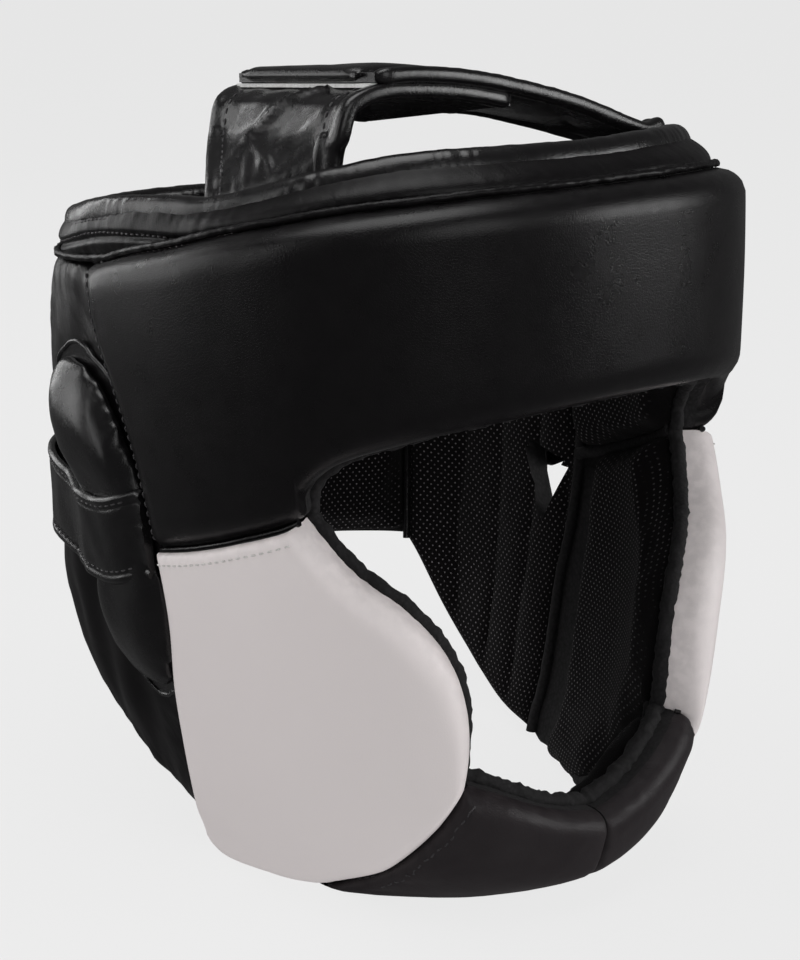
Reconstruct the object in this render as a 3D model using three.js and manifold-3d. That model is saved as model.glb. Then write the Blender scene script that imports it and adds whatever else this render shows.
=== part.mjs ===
// Full-face boxing headgear: a moulded brow band, cheek pads and a chin bar in front,
// soft side and back panels with ear pads and straps behind, and two wings that lap over the crown.
// Millimetres, +Z up. The wearer looks along -Y and their right side is -X.
// It stands on its chin bar and cheek pads, on a table at z = 0.

import * as THREE from 'three';
import { mergeVertices } from 'three/addons/utils/BufferGeometryUtils.js';
import Module from 'manifold-3d';

// Driving dimensions

const headWidth = 218; // across the band, outside
const frontReach = 119; // from the middle of the head to the brow
const backReach = 125; // from the middle of the head to the back
const shellHeight = 241; // from the table to the brow band's top edge
const sectionPower = 2.4; // squareness of the plan outline, 2 is an ellipse

const coverDepth = 15; // leather cover and its foam, on brow, cheek and chin
const liningDepth = 11; // mesh lining and its foam behind that cover
const edgeRoll = 10; // radius of the cover's rolled edge
const chinRoll = 8; // radius of the chin bar's rolled edge
const liningRoll = 7; // radius of the lining's rolled edge

const panelSink = 8; // how far the side panels lie inside the band's face behind the cheek pad
const panelBulge = 7; // how far the panels swell out at the rear corners
const panelDepth = 4.5; // leather of the side and back panels
const panelRoll = 4; // radius of the panels' edge
const sideLiningDepth = 5; // thin lining round the ear openings
const backLiningDepth = 11; // thick lining behind the back panel

const collarThickness = 4.5; // soft leather collar above the band
const collarSink = 10; // how far the collar's foot lies inside the band's face
const collarPuff = 1; // how far its face swells between its edges
const pipingRadius = 3; // bound edge along the collar's rim

const wingThickness = 3; // crown wings
const wingWidth = 74; // front to back
const wingMiddle = -23; // middle of a wing, front to back
const wingTuck = 9; // how far a wing reaches down inside the rim
const bindingRadius = 2.1; // bound edge of a wing
const crownRise = 34; // from the band's top edge to the top of the lapped wings
const tapeThickness = 1.2; // closure tape between the wings

const earPadHeight = 116;
const earPadWidth = 42;
const earPadDepth = 11;
const earPadFullness = 0.75; // 1 is a half round section, less is squarer
const strapWidth = 32;
const strapThickness = 2.6;
const strapReach = 196; // turn at which a strap ends, past the middle of the back
const strapStep = 6; // turn between the sections of a strap
const earPadSlip = 11; // turn by which the left ear pad has slipped back, clear of its ear opening

const seamGap = 0.8; // between neighbours that are sewn edge to edge
const edgeThickness = 1.2; // of a padded piece at its sewn edge
const layerGap = 0.3; // between pieces that lie on each other
const neighbourGap = 0.4; // least gap on the neighbour's side of a seam
const strapEase = 0.9; // slack of the ear pads and straps over the panels below them

// Outline of the head, from the table up, as shares of the sizes and of the squareness above.
const sections = [
  { height: 0.0, width: 0.785, front: 0.8, back: 0.8, square: 0.73 },
  { height: 0.0415, width: 0.803, front: 0.925, back: 0.85, square: 0.76 },
  { height: 0.083, width: 0.836, front: 0.965, back: 0.89, square: 0.83 },
  { height: 0.19, width: 0.88, front: 1.003, back: 0.93, square: 0.94 },
  { height: 0.373, width: 0.936, front: 1.0, back: 0.975, square: 1 },
  { height: 0.54, width: 0.982, front: 0.995, back: 0.99, square: 1 },
  { height: 0.747, width: 1.0, front: 0.992, back: 1.0, square: 1 },
  { height: 0.913, width: 0.99, front: 0.99, back: 0.99, square: 1 },
  { height: 1.0, width: 0.97, front: 0.985, back: 0.965, square: 1 },
  { height: 1.05, width: 0.935, front: 0.96, back: 0.93, square: 1 },
  { height: 1.1, width: 0.88, front: 0.91, back: 0.87, square: 1 },
];

// Edges on that outline: a turn in degrees from the front, and a share of the shell's height.
const browEdge = [
  { turn: 89.4, height: 0.481 },
  { turn: 77, height: 0.508 },
  { turn: 65, height: 0.541 },
  { turn: 53.4, height: 0.581 },
  { turn: 52.4, height: 0.618 },
  { turn: 47, height: 0.66 },
  { turn: 37, height: 0.69 },
  { turn: 25, height: 0.711 },
  { turn: 12, height: 0.722 },
  { turn: 0, height: 0.7245 },
];
const seamKnots = 3; // the first stretch of the brow edge is the seam to the cheek pad
const bandTopTurns = [
  { turn: 109.5 },
  { turn: 97 },
  { turn: 82 },
  { turn: 68 },
  { turn: 58 },
  { turn: 47 },
  { turn: 37 },
  { turn: 25 },
  { turn: 12 },
  { turn: 0 },
];
const shellRear = [
  { turn: 89.4, height: 0.481 },
  { turn: 91.3, height: 0.555 },
  { turn: 94.8, height: 0.63 },
  { turn: 100, height: 0.705 },
  { turn: 106.5, height: 0.785 },
  { turn: 109.5, height: 0.863 },
];
const cheekRear = [
  { turn: 92, height: 0.012 },
  { turn: 91.5, height: 0.12 },
  { turn: 91.3, height: 0.2 },
  { turn: 91, height: 0.28 },
  { turn: 89.4, height: 0.36 },
  { turn: 89, height: 0.42 },
  { turn: 89.4, height: 0.481 },
];
const cheekFront = [
  { turn: 26.1, height: 0.216 },
  { turn: 25.4, height: 0.28 },
  { turn: 26.3, height: 0.345 },
  { turn: 29.5, height: 0.405 },
  { turn: 36, height: 0.462 },
  { turn: 45, height: 0.512 },
  { turn: 53.4, height: 0.581 },
];
const cheekFoot = [
  { turn: 92, height: 0.012 },
  { turn: 84, height: -0.012 },
  { turn: 72, height: -0.012 },
  { turn: 60, height: -0.012 },
  { turn: 50, height: 0.012 },
  { turn: 40, height: 0.054 },
  { turn: 31.5, height: 0.133 },
  { turn: 26.1, height: 0.216 },
];
const liningFrom = 0.2; // the cheek lining leaves this share of the pad's rear bare
const chinKnots = 3; // from this knot on, the cheek's foot is the seam to the chin bar
const chinTop = [
  { turn: 26.1, height: 0.216 },
  { turn: 20.4, height: 0.199 },
  { turn: 9.2, height: 0.158 },
  { turn: 0, height: 0.137 },
];
const chinFoot = [
  { turn: 60, height: -0.012 },
  { turn: 40, height: -0.012 },
  { turn: 20, height: -0.012 },
  { turn: 0, height: -0.012 },
];
const panelFoot = [
  { turn: 92, height: 0.012 },
  { turn: 107, height: 0.04 },
  { turn: 120, height: 0.08 },
  { turn: 131, height: 0.15 },
  { turn: 140, height: 0.26 },
];
const backFoot = [
  { turn: 140, height: 0.26 },
  { turn: 160, height: 0.275 },
  { turn: 180, height: 0.28 },
  { turn: 200, height: 0.275 },
  { turn: 220, height: 0.26 },
];
const panelTopTurns = [{ turn: 109.5 }, { turn: 125 }, { turn: 140 }];
const backTopTurns = [{ turn: 140 }, { turn: 180 }, { turn: 220 }];
const panelBack = [
  { turn: 140, height: 0.26 },
  { turn: 140, height: 0.838 },
];

// Heights round the head: the crown line tops the band and the panels, the rim tops the collar.
const crownLine = [
  { turn: 0, height: 1.007 },
  { turn: 12, height: 1.006 },
  { turn: 25, height: 1.002 },
  { turn: 37, height: 0.992 },
  { turn: 47, height: 0.98 },
  { turn: 58, height: 0.961 },
  { turn: 68, height: 0.943 },
  { turn: 82, height: 0.914 },
  { turn: 97, height: 0.888 },
  { turn: 109.5, height: 0.863 },
  { turn: 125, height: 0.846 },
  { turn: 140, height: 0.838 },
  { turn: 180, height: 0.83 },
];
const rimLine = [
  { turn: 0, height: 1.04 },
  { turn: 20, height: 1.041 },
  { turn: 37, height: 1.034 },
  { turn: 54, height: 1.008 },
  { turn: 63, height: 0.989 },
  { turn: 76, height: 0.966 },
  { turn: 92, height: 0.956 },
  { turn: 110, height: 0.938 },
  { turn: 129, height: 0.902 },
  { turn: 145, height: 0.89 },
  { turn: 180, height: 0.88 },
];

// How far the rim and the panels lie inside the head's outline, as shares of collarSink and panelSink.
const rimSink = [
  { turn: 0, share: 1.8 },
  { turn: 40, share: 1.65 },
  { turn: 65, share: 1.55 },
  { turn: 90, share: 1.25 },
  { turn: 110, share: 0.85 },
  { turn: 129, share: 0.5 },
  { turn: 150, share: 0.6 },
  { turn: 180, share: 0.9 },
];
const panelSinks = [
  { turn: 90, share: 1 },
  { turn: 103, share: 1 },
  { turn: 116, share: 0.65 },
  { turn: 128, share: 0.15 },
  { turn: 138, share: 0.06 },
  { turn: 152, share: 0.6 },
  { turn: 166, share: 1 },
  { turn: 180, share: 1.15 },
];
const panelBulges = [
  { height: 0.0, share: 0.2 },
  { height: 0.12, share: 0.6 },
  { height: 0.24, share: 1 },
  { height: 0.36, share: 1 },
  { height: 0.48, share: 0.6 },
  { height: 0.6, share: 0.4 },
  { height: 0.72, share: 0.35 },
  { height: 0.85, share: 0 },
  { height: 1.0, share: 0 },
];

// Crown wings, across the head: place as a share of half the width, rises as shares of the crown rise.
const lapProfile = [
  { across: -0.5, front: 1.0, rear: 0.82 },
  { across: -0.37, front: 1.0, rear: 0.79 },
  { across: -0.19, front: 0.94, rear: 0.64 },
  { across: 0.0, front: 0.82, rear: 0.46 },
  { across: 0.26, front: 0.6, rear: 0.3 },
  { across: 0.53, front: 0.29, rear: 0.1 },
];
const rightRise = [
  { across: -0.66, front: 0.5, rear: 0.3 },
  { across: -0.61, front: 0.73, rear: 0.56 },
];
const wingTurns = { front: 50, rear: 80 }; // where a wing meets the rim

// Ear pad, from its lower end up: middle, width share and how far the strap squeezes it.
const earPadRows = [
  { rise: 0.0, turn: 101.5, width: 0.3, swell: 0.35 },
  { rise: 0.05, turn: 101.5, width: 0.62, swell: 0.7 },
  { rise: 0.15, turn: 101.8, width: 0.86, swell: 0.95 },
  { rise: 0.28, turn: 102.3, width: 0.94, swell: 0.92 },
  { rise: 0.4, turn: 103, width: 0.96, swell: 0.66 },
  { rise: 0.5, turn: 104, width: 0.97, swell: 0.56 },
  { rise: 0.6, turn: 105.5, width: 1.0, swell: 0.66 },
  { rise: 0.72, turn: 108, width: 1.0, swell: 0.95 },
  { rise: 0.85, turn: 111.5, width: 0.9, swell: 1.0 },
  { rise: 0.95, turn: 114, width: 0.66, swell: 0.7 },
  { rise: 1.0, turn: 115, width: 0.32, swell: 0.35 },
];
const earPadFoot = 0.245; // share of the shell's height

// Strap from the cheek pad's rear edge over the ear pad and round the back.
const strapRows = [
  { turn: 93.2, height: 0.5, lift: 0.2 },
  { turn: 96, height: 0.49, lift: 0.5 },
  { turn: 100, height: 0.478, lift: 0.72 },
  { turn: 105, height: 0.47, lift: 0.74 },
  { turn: 110, height: 0.47, lift: 0.64 },
  { turn: 115, height: 0.47, lift: 0.34 },
  { turn: 121, height: 0.472, lift: 0 },
  { turn: 132, height: 0.48, lift: 0 },
  { turn: 158, height: 0.495, lift: 0 },
];
const lapTurn = 162; // from here on the left strap lies on the right one

// Ear opening: corners behind the cheek pad's rear edge, shares of backReach and of the shell's height.
const earHole = [
  { back: 0.03, height: 0.462 },
  { back: 0.23, height: 0.478 },
  { back: 0.11, height: 0.35 },
];

// Steps of the meshes
const stepLength = 20;
const rollSteps = [0, 0.25, 1];
const ringSteps = 40;
const wingSteps = 7;
const lengthSteps = 8;
const earPadSides = 12;
const pipingSides = 6;
const bindingSides = 8;

const wasm = await Module();
wasm.setup();

const degrees = Math.PI / 180;
const halfWidth = headWidth / 2;

// A smooth curve through the named column of a table, at place x among the rows' own places.
function smooth(rows, column, x, place = null) {
  const at = (i) => (place ? rows[i][place] : i);
  const slope = (i) => {
    const before = Math.max(i - 1, 0);
    const after = Math.min(i + 1, rows.length - 1);
    return (rows[after][column] - rows[before][column]) / (at(after) - at(before));
  };
  let i = 0;
  while (i < rows.length - 2 && x > at(i + 1)) {
    i += 1;
  }
  const span = at(i + 1) - at(i);
  const t = Math.min(Math.max((x - at(i)) / span, 0), 1);
  const a = rows[i][column];
  const b = rows[i + 1][column];
  const cubic = (2 * a - 2 * b + span * (slope(i) + slope(i + 1))) * t ** 3;
  const square = (3 * b - 3 * a - span * (2 * slope(i) + slope(i + 1))) * t ** 2;
  return cubic + square + span * slope(i) * t + a;
}

// A point of the head at a turn from the front, at height z, depth below the outer face.
function skin(turn, z, depth) {
  const share = z / shellHeight;
  const across = Math.sin(turn * degrees);
  const along = -Math.cos(turn * degrees);
  const width = smooth(sections, 'width', share, 'height') * halfWidth - depth;
  const front = smooth(sections, 'front', share, 'height') * frontReach - depth;
  const back = smooth(sections, 'back', share, 'height') * backReach - depth;
  const reach = along < 0 ? front : back;
  const power = smooth(sections, 'square', share, 'height') * sectionPower;
  const sum = Math.abs(across / width) ** power + Math.abs(along / reach) ** power;
  const radius = sum ** (-1 / power);
  return new THREE.Vector3(across * radius, along * radius, z);
}

// Height of a line round the head at any turn.
function lineHeight(rows, turn) {
  return smooth(rows, 'height', folded(turn), 'turn') * shellHeight;
}

// A turn to either side as one from 0 to 180.
function folded(turn) {
  return Math.abs(((turn + 180) % 360 + 360) % 360 - 180);
}

// Depth of the panels' face below the head's outline: deep behind the cheek, out at the rear corners.
function panelFace(turn, z) {
  const sink = smooth(panelSinks, 'share', folded(turn), 'turn');
  const bulge = smooth(panelBulges, 'share', z / shellHeight, 'height');
  return sink * panelSink - Math.max(0, 1 - sink) * bulge * panelBulge;
}

function rimDepth(turn) {
  return smooth(rimSink, 'share', folded(turn), 'turn') * collarSink;
}

// An edge as a function of t from 0 to 1, giving a turn and a height in millimetres.
function edge(rows, from = 0, to = 1) {
  return (t) => {
    const x = (from + (to - from) * t) * (rows.length - 1);
    return { turn: smooth(rows, 'turn', x), z: smooth(rows, 'height', x) * shellHeight };
  };
}

// An edge whose rows give turns only, lying on the crown line.
function crownEdge(rows) {
  return (t) => {
    const turn = smooth(rows, 'turn', t * (rows.length - 1));
    return { turn, z: lineHeight(crownLine, turn) };
  };
}

// The whole of an edge that is given from its right end to the middle of the front.
function bothSides(half) {
  return (t) => {
    const point = half(t < 0.5 ? 2 * t : 2 - 2 * t);
    return { turn: t < 0.5 ? -point.turn : point.turn, z: point.z };
  };
}

// The other side's edge of a pair.
function mirrored(curve) {
  return (t) => {
    const point = curve(t);
    return { turn: -point.turn, z: point.z };
  };
}

// Two edges that follow each other, the first up to the share "joint".
function joined(first, second, joint) {
  return (t) => (t < joint ? first(t / joint) : second((t - joint) / (1 - joint)));
}

// The field between four edges: foot and top run with u, start and end run with v.
// Its depth 0 is the head's outline, or lies at the depth that "face" gives.
function field(foot, top, start, end, face = () => 0) {
  const mix = (key, u, v) => {
    const sides = (1 - v) * foot(u)[key] + v * top(u)[key] + (1 - u) * start(v)[key] + u * end(v)[key];
    const low = (1 - u) * foot(0)[key] + u * foot(1)[key];
    const high = (1 - u) * top(0)[key] + u * top(1)[key];
    return sides - (1 - v) * low - v * high;
  };
  return (u, v, depth) => {
    const [turn, z] = [mix('turn', u, v), mix('z', u, v)];
    return skin(turn, z, depth + face(turn, z));
  };
}

// Length of a line of the field, in a few steps.
function fieldLength(at) {
  let length = 0;
  for (let i = 0; i < lengthSteps; i += 1) {
    length += at(i / lengthSteps).distanceTo(at((i + 1) / lengthSteps));
  }
  return length;
}

// Places along a side: close together in the rolled edges, even between them.
function places(length, roll, from, to, inset) {
  const span = length * (to - from);
  const edges = rollSteps.map((share) => (share === 0 ? inset : share * roll) / span);
  const first = edges[edges.length - 1];
  const count = Math.max(2, Math.round((span - 2 * roll) / stepLength));
  const middle = [];
  for (let i = 1; i < count; i += 1) {
    middle.push(first + ((1 - 2 * first) * i) / count);
  }
  const tail = edges.map((share) => 1 - share).reverse();
  return [...edges, ...middle, ...tail].map((share) => from + (to - from) * share);
}

// Closed solid between two grids of points with the same rows and columns.
function between(outer, inner) {
  const rows = outer.length;
  const columns = outer[0].length;
  const points = [...outer.flat(), ...inner.flat()];
  const index = (layer, i, j) => layer * rows * columns + i * columns + j;
  const faces = [];
  const quad = (a, b, c, d) => faces.push(a, b, c, a, c, d);
  for (let i = 0; i < rows - 1; i += 1) {
    for (let j = 0; j < columns - 1; j += 1) {
      quad(index(0, i, j), index(0, i + 1, j), index(0, i + 1, j + 1), index(0, i, j + 1));
      quad(index(1, i, j), index(1, i, j + 1), index(1, i + 1, j + 1), index(1, i + 1, j));
    }
  }
  for (let i = 0; i < rows - 1; i += 1) {
    quad(index(0, i, 0), index(1, i, 0), index(1, i + 1, 0), index(0, i + 1, 0));
    const last = columns - 1;
    quad(index(0, i, last), index(0, i + 1, last), index(1, i + 1, last), index(1, i, last));
  }
  for (let j = 0; j < columns - 1; j += 1) {
    quad(index(0, 0, j), index(0, 0, j + 1), index(1, 0, j + 1), index(1, 0, j));
    const last = rows - 1;
    quad(index(0, last, j), index(1, last, j), index(1, last, j + 1), index(0, last, j + 1));
  }
  return closedGeometry(points, faces);
}

// Closed solid through rings of points, either a loop of rings or one capped at both ends.
function loft(rings, loop) {
  const sides = rings[0].length;
  const points = rings.flat();
  const faces = [];
  const count = loop ? rings.length : rings.length - 1;
  for (let i = 0; i < count; i += 1) {
    const here = i * sides;
    const next = ((i + 1) % rings.length) * sides;
    for (let j = 0; j < sides; j += 1) {
      const k = (j + 1) % sides;
      faces.push(here + j, next + j, next + k, here + j, next + k, here + k);
    }
  }
  if (!loop) {
    const last = (rings.length - 1) * sides;
    for (let j = 1; j < sides - 1; j += 1) {
      faces.push(0, j, j + 1, last, last + j + 1, last + j);
    }
  }
  return closedGeometry(points, faces);
}

// Geometry from points and triangles, turned so that its faces look out.
function closedGeometry(points, faces) {
  let volume = 0;
  for (let i = 0; i < faces.length; i += 3) {
    const [a, b, c] = [points[faces[i]], points[faces[i + 1]], points[faces[i + 2]]];
    volume += a.dot(new THREE.Vector3().crossVectors(b, c));
  }
  const outward = volume > 0 ? faces : faces.reverse();
  const geometry = new THREE.BufferGeometry();
  geometry.setAttribute('position', new THREE.Float32BufferAttribute(points.flatMap((p) => p.toArray()), 3));
  geometry.setIndex(outward);
  return geometry;
}

function toSolid(geometry) {
  const bare = geometry.clone();
  bare.deleteAttribute('normal');
  bare.deleteAttribute('uv');
  const merged = mergeVertices(bare, 1e-4);
  return new wasm.Manifold(
    new wasm.Mesh({
      numProp: 3,
      vertProperties: new Float32Array(merged.attributes.position.array),
      triVerts: new Uint32Array(merged.index.array),
    }),
  );
}

function toGeometry(solid) {
  const mesh = solid.getMesh();
  const geometry = new THREE.BufferGeometry();
  geometry.setAttribute('position', new THREE.BufferAttribute(new Float32Array(mesh.vertProperties), 3));
  geometry.setIndex(new THREE.BufferAttribute(new Uint32Array(mesh.triVerts), 1));
  return geometry;
}

// Cuts a piece flat where it stands on the table.
function flattened(geometry) {
  const size = 3 * (headWidth + frontReach + backReach);
  const below = new THREE.BoxGeometry(size, size, shellHeight).translate(0, 0, -shellHeight / 2);
  return toGeometry(toSolid(geometry).subtract(toSolid(below)));
}

// How far a rolled edge has fallen at two distances from the nearest sides, 1 at the edge itself.
function rollShare(across, along, roll) {
  const nearness = (distance) => Math.max(0, 1 - distance / roll);
  const q = Math.min(1, Math.hypot(nearness(across), nearness(along)));
  return 1 - Math.sqrt(1 - q * q);
}

// Padded piece over part of a field. "rolled" says which face has the round edge: outer, inner or none.
// Pieces that lie on each other share their columns, so that their facets stay parallel.
function pad(shape, { outer, inner, roll, rolled, columns = [[0, 1]], spacing = roll, inset = seamGap / 2 }) {
  const from = columns[0][0];
  const to = columns[columns.length - 1][1];
  const alongU = fieldLength((t) => shape(t, 0.5, 0));
  const alongV = fieldLength((t) => shape(0.5, t, 0));
  const us = columns.flatMap(([start, end]) => places(alongU, spacing, start, end, inset));
  const vs = places(alongV, spacing, 0, 1, inset);
  const fall = Math.min(roll, inner - outer - edgeThickness);
  const grids = [outer, inner].map((depth, face) => {
    const isRolled = rolled === (face === 0 ? 'outer' : 'inner');
    const towards = face === 0 ? fall : -fall;
    return us.map((u) => vs.map((v) => {
      const across = Math.min(u - from, to - u) * alongU - inset;
      const along = Math.min(v, 1 - v) * alongV - inset;
      const share = isRolled ? rollShare(across, along, roll) : 0;
      return shape(u, v, depth + share * towards);
    }));
  });
  return between(grids[0], grids[1]);
}

// What a piece's neighbours leave free: its full outline and a gap, layer by layer.
function clearance(shape, roll, columns = [[0, 1]]) {
  const around = 2;
  const levels = [-around, coverDepth / 2, coverDepth, coverDepth + liningDepth + around];
  const layers = levels.slice(1).map((inner, i) => toSolid(
    pad(shape, { outer: levels[i], inner, roll, rolled: 'none', columns, inset: -neighbourGap }),
  ));
  return layers.reduce((whole, layer) => whole.add(layer));
}

const group = new THREE.Group();

function leather(colour, roughness) {
  return new THREE.MeshStandardMaterial({ color: colour, roughness, metalness: 0 });
}

const bandLeather = leather(0x1b191b, 0.5);
const softLeather = leather(0x141214, 0.35);
const cheekLeather = leather(0xd2cdcb, 0.55);
const liningMesh = leather(0x0c0b0c, 0.95);
const tapeCloth = leather(0xd9d9d6, 0.9);

function add(name, geometry, material) {
  const mesh = new THREE.Mesh(geometry, material);
  mesh.name = name;
  group.add(mesh);
}

// Brow band, cheek pads and chin bar, each a leather cover over a mesh lining

const seamShare = seamKnots / (browEdge.length - 1);
const chinShare = chinKnots / (cheekFoot.length - 1);
const liningStart = coverDepth + layerGap;
const liningEnd = liningStart + liningDepth;

const browFoot = edge(browEdge);
const bandShape = field(
  bothSides(browFoot),
  bothSides(crownEdge(bandTopTurns)),
  mirrored(edge(shellRear)),
  edge(shellRear),
);
const coverLayer = { outer: 0, inner: coverDepth, roll: edgeRoll, rolled: 'outer' };
const liningLayer = {
  outer: liningStart, inner: liningEnd, roll: liningRoll, rolled: 'inner', spacing: edgeRoll,
};
add('forehead_band', pad(bandShape, coverLayer), bandLeather);
add('forehead_lining', pad(bandShape, liningLayer), liningMesh);
const bandRoom = clearance(bandShape, edgeRoll);

const sides = [
  { name: 'right', sign: -1 },
  { name: 'left', sign: 1 },
];

// The shape on the wearer's right is the left one turned over.
function onSide(shape, sign) {
  return (u, v, depth) => {
    const point = shape(u, v, depth);
    return new THREE.Vector3(sign * point.x, point.y, point.z);
  };
}

// A piece cut free of its neighbours' room.
function fitted(geometry, rooms) {
  return toGeometry(rooms.reduce((solid, room) => solid.subtract(room), toSolid(geometry)));
}

const cheekShape = field(edge(cheekFoot), edge(browEdge, 0, seamShare), edge(cheekRear), edge(cheekFront));
const cheekColumns = [[0, liningFrom], [liningFrom, 1]];
const cheekRooms = sides.map(({ sign }) => clearance(onSide(cheekShape, sign), edgeRoll, cheekColumns));
for (const { name, sign } of sides) {
  const shape = onSide(cheekShape, sign);
  const cover = pad(shape, { ...coverLayer, columns: cheekColumns });
  const lining = pad(shape, { ...liningLayer, columns: cheekColumns.slice(1) });
  add(`cheek_${name}`, flattened(fitted(cover, [bandRoom])), cheekLeather);
  add(`cheek_lining_${name}`, flattened(fitted(lining, [bandRoom])), liningMesh);
}

const chinSeam = edge(cheekFoot, chinShare, 1);
const chinShape = field(
  bothSides(edge(chinFoot)),
  bothSides(edge(chinTop)),
  mirrored(chinSeam),
  chinSeam,
);
const chinHalves = [[0, 0.5], [0.5, 1]];
sides.forEach(({ name }, i) => {
  const bar = pad(chinShape, { ...coverLayer, roll: chinRoll, columns: [chinHalves[i]] });
  add(`chin_bar_${name}`, flattened(fitted(bar, cheekRooms)), softLeather);
});
const chinLining = pad(chinShape, { ...liningLayer, spacing: chinRoll, columns: chinHalves });
add('chin_lining', flattened(fitted(chinLining, cheekRooms)), liningMesh);

// Side and back panels, with an opening at each ear

const innerStart = panelDepth + layerGap;
const rearJoint = (cheekRear[cheekRear.length - 1].height - cheekRear[0].height)
  / (shellRear[shellRear.length - 1].height - cheekRear[0].height);
const panelShape = field(
  edge(panelFoot),
  crownEdge(panelTopTurns),
  joined(edge(cheekRear), edge(shellRear), rearJoint),
  edge(panelBack),
  panelFace,
);
const backShape = field(
  edge(backFoot),
  crownEdge(backTopTurns),
  edge(panelBack),
  (t) => ({ turn: 360 - edge(panelBack)(t).turn, z: edge(panelBack)(t).z }),
  panelFace,
);

function earCutter(sign) {
  const outline = new THREE.Shape(
    earHole.map((corner) => new THREE.Vector2(corner.back * backReach, corner.height * shellHeight)),
  );
  const prism = new THREE.ExtrudeGeometry(outline, { depth: headWidth, bevelEnabled: false, steps: 1 });
  const upright = new THREE.Matrix4().makeBasis(
    new THREE.Vector3(0, 1, 0),
    new THREE.Vector3(0, 0, 1),
    new THREE.Vector3(1, 0, 0),
  );
  prism.applyMatrix4(upright);
  return toSolid(sign < 0 ? prism.translate(-headWidth, 0, 0) : prism);
}

const panelLayer = { outer: 0, inner: panelDepth, roll: panelRoll, rolled: 'outer' };
const innerLayer = { outer: innerStart, roll: panelRoll, rolled: 'inner' };
const sideInner = { ...innerLayer, inner: innerStart + sideLiningDepth };
const backInner = { ...innerLayer, inner: innerStart + backLiningDepth };
sides.forEach(({ name, sign }, i) => {
  const shape = onSide(panelShape, sign);
  const rooms = [bandRoom, cheekRooms[i], earCutter(sign)];
  add(`side_panel_${name}`, fitted(pad(shape, panelLayer), rooms), softLeather);
  add(`side_lining_${name}`, fitted(pad(shape, sideInner), rooms), liningMesh);
});
const panelRooms = sides.map(({ sign }) => clearance(onSide(panelShape, sign), panelRoll));
add('back_panel', fitted(pad(backShape, panelLayer), panelRooms), softLeather);
add('back_lining', fitted(pad(backShape, backInner), panelRooms), liningMesh);

// Ear pads and the straps over them

const seat = -layerGap - strapEase;

function earPadRing(row, sign, room, slip) {
  const z = earPadFoot * shellHeight + row.rise * earPadHeight;
  const middle = skin(row.turn, z, 0);
  const perMillimetre = 1 / (Math.hypot(middle.x, middle.y) * degrees);
  const ring = [];
  for (let i = 0; i < earPadSides; i += 1) {
    const angle = (i / earPadSides) * 2 * Math.PI;
    const side = Math.sign(Math.cos(angle)) * Math.abs(Math.cos(angle)) ** earPadFullness;
    const swell = Math.sin(angle) > 0 ? Math.sin(angle) ** earPadFullness : 0;
    const shift = side * ((row.width * earPadWidth) / 2 + room);
    const turn = row.turn + slip + shift * perMillimetre;
    const depth = panelFace(turn, z) + seat - swell * (earPadDepth * row.swell + room);
    const point = skin(turn, z, depth);
    ring.push(new THREE.Vector3(sign * point.x, point.y, point.z));
  }
  return ring;
}

function strapRing(turn, z, depth, thickness, sign) {
  const corners = [
    { rise: -0.5, lift: 0 },
    { rise: -0.5, lift: 1 },
    { rise: 0, lift: 1 },
    { rise: 0.5, lift: 1 },
    { rise: 0.5, lift: 0 },
    { rise: 0, lift: 0 },
  ];
  return corners.map((corner) => {
    const height = z + corner.rise * strapWidth;
    const point = skin(turn, height, panelFace(turn, height) + depth - corner.lift * thickness);
    return new THREE.Vector3(sign * point.x, point.y, point.z);
  });
}

for (const { name, sign } of sides) {
  const slip = sign > 0 ? earPadSlip : 0;
  const earPad = (room) => loft(earPadRows.map((row) => earPadRing(row, sign, room, slip)), false);
  add(`ear_pad_${name}`, earPad(0), softLeather);
  const rings = [];
  for (let turn = strapRows[0].turn; turn <= strapReach; turn += strapStep) {
    const z = smooth(strapRows, 'height', turn, 'turn') * shellHeight;
    const lift = smooth(strapRows, 'lift', turn - slip, 'turn') * earPadDepth;
    const overlap = sign > 0 && turn > lapTurn ? strapThickness + 2 * layerGap : 0;
    rings.push(strapRing(turn, z, seat - lift - overlap, strapThickness, sign));
  }
  add(`rear_strap_${name}`, fitted(loft(rings, false), [toSolid(earPad(layerGap))]), softLeather);
}

// Collar and its bound rim

function collarRing(turn) {
  const low = lineHeight(crownLine, turn) + seamGap;
  const high = lineHeight(rimLine, turn) - pipingRadius - layerGap;
  const levels = [0, 0.35, 0.7, 1];
  const face = (level) => collarSink + (rimDepth(turn) - collarSink) * level;
  const height = (level) => low + (high - low) * level;
  const outside = levels.map((level) => {
    const puff = collarPuff * Math.sin(Math.PI * level);
    return skin(turn, height(level), face(level) - puff);
  });
  const inside = levels.map((level) => skin(turn, height(level), face(level) + collarThickness));
  return [...outside, ...inside.reverse()];
}

function pipingRing(turn) {
  const z = lineHeight(rimLine, turn);
  const ring = [];
  for (let i = 0; i < pipingSides; i += 1) {
    const angle = (i / pipingSides) * 2 * Math.PI;
    const depth = rimDepth(turn) + collarThickness / 2 + pipingRadius * Math.cos(angle);
    ring.push(skin(turn, z + pipingRadius * Math.sin(angle), depth));
  }
  return ring;
}

const turnsRound = Array.from({ length: ringSteps }, (_, i) => (i * 360) / ringSteps);
add('crown_collar', loft(turnsRound.map(collarRing), true), softLeather);
add('rim_piping', loft(turnsRound.map(pipingRing), true), softLeather);

// Crown wings

const wingSeat = collarThickness / 2 + pipingRadius + layerGap;
const lapLift = wingThickness + tapeThickness + 2 * layerGap;

// One row of a wing's upper face, from its front edge to its rear edge.
function crownRow(row, drop) {
  return Array.from({ length: wingSteps + 1 }, (_, j) => {
    const share = j / wingSteps;
    const rise = (row.front + (row.rear - row.front) * share) * crownRise;
    return new THREE.Vector3(
      row.across * halfWidth,
      wingMiddle + (share - 0.5) * wingWidth,
      shellHeight + rise - drop,
    );
  });
}

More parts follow.
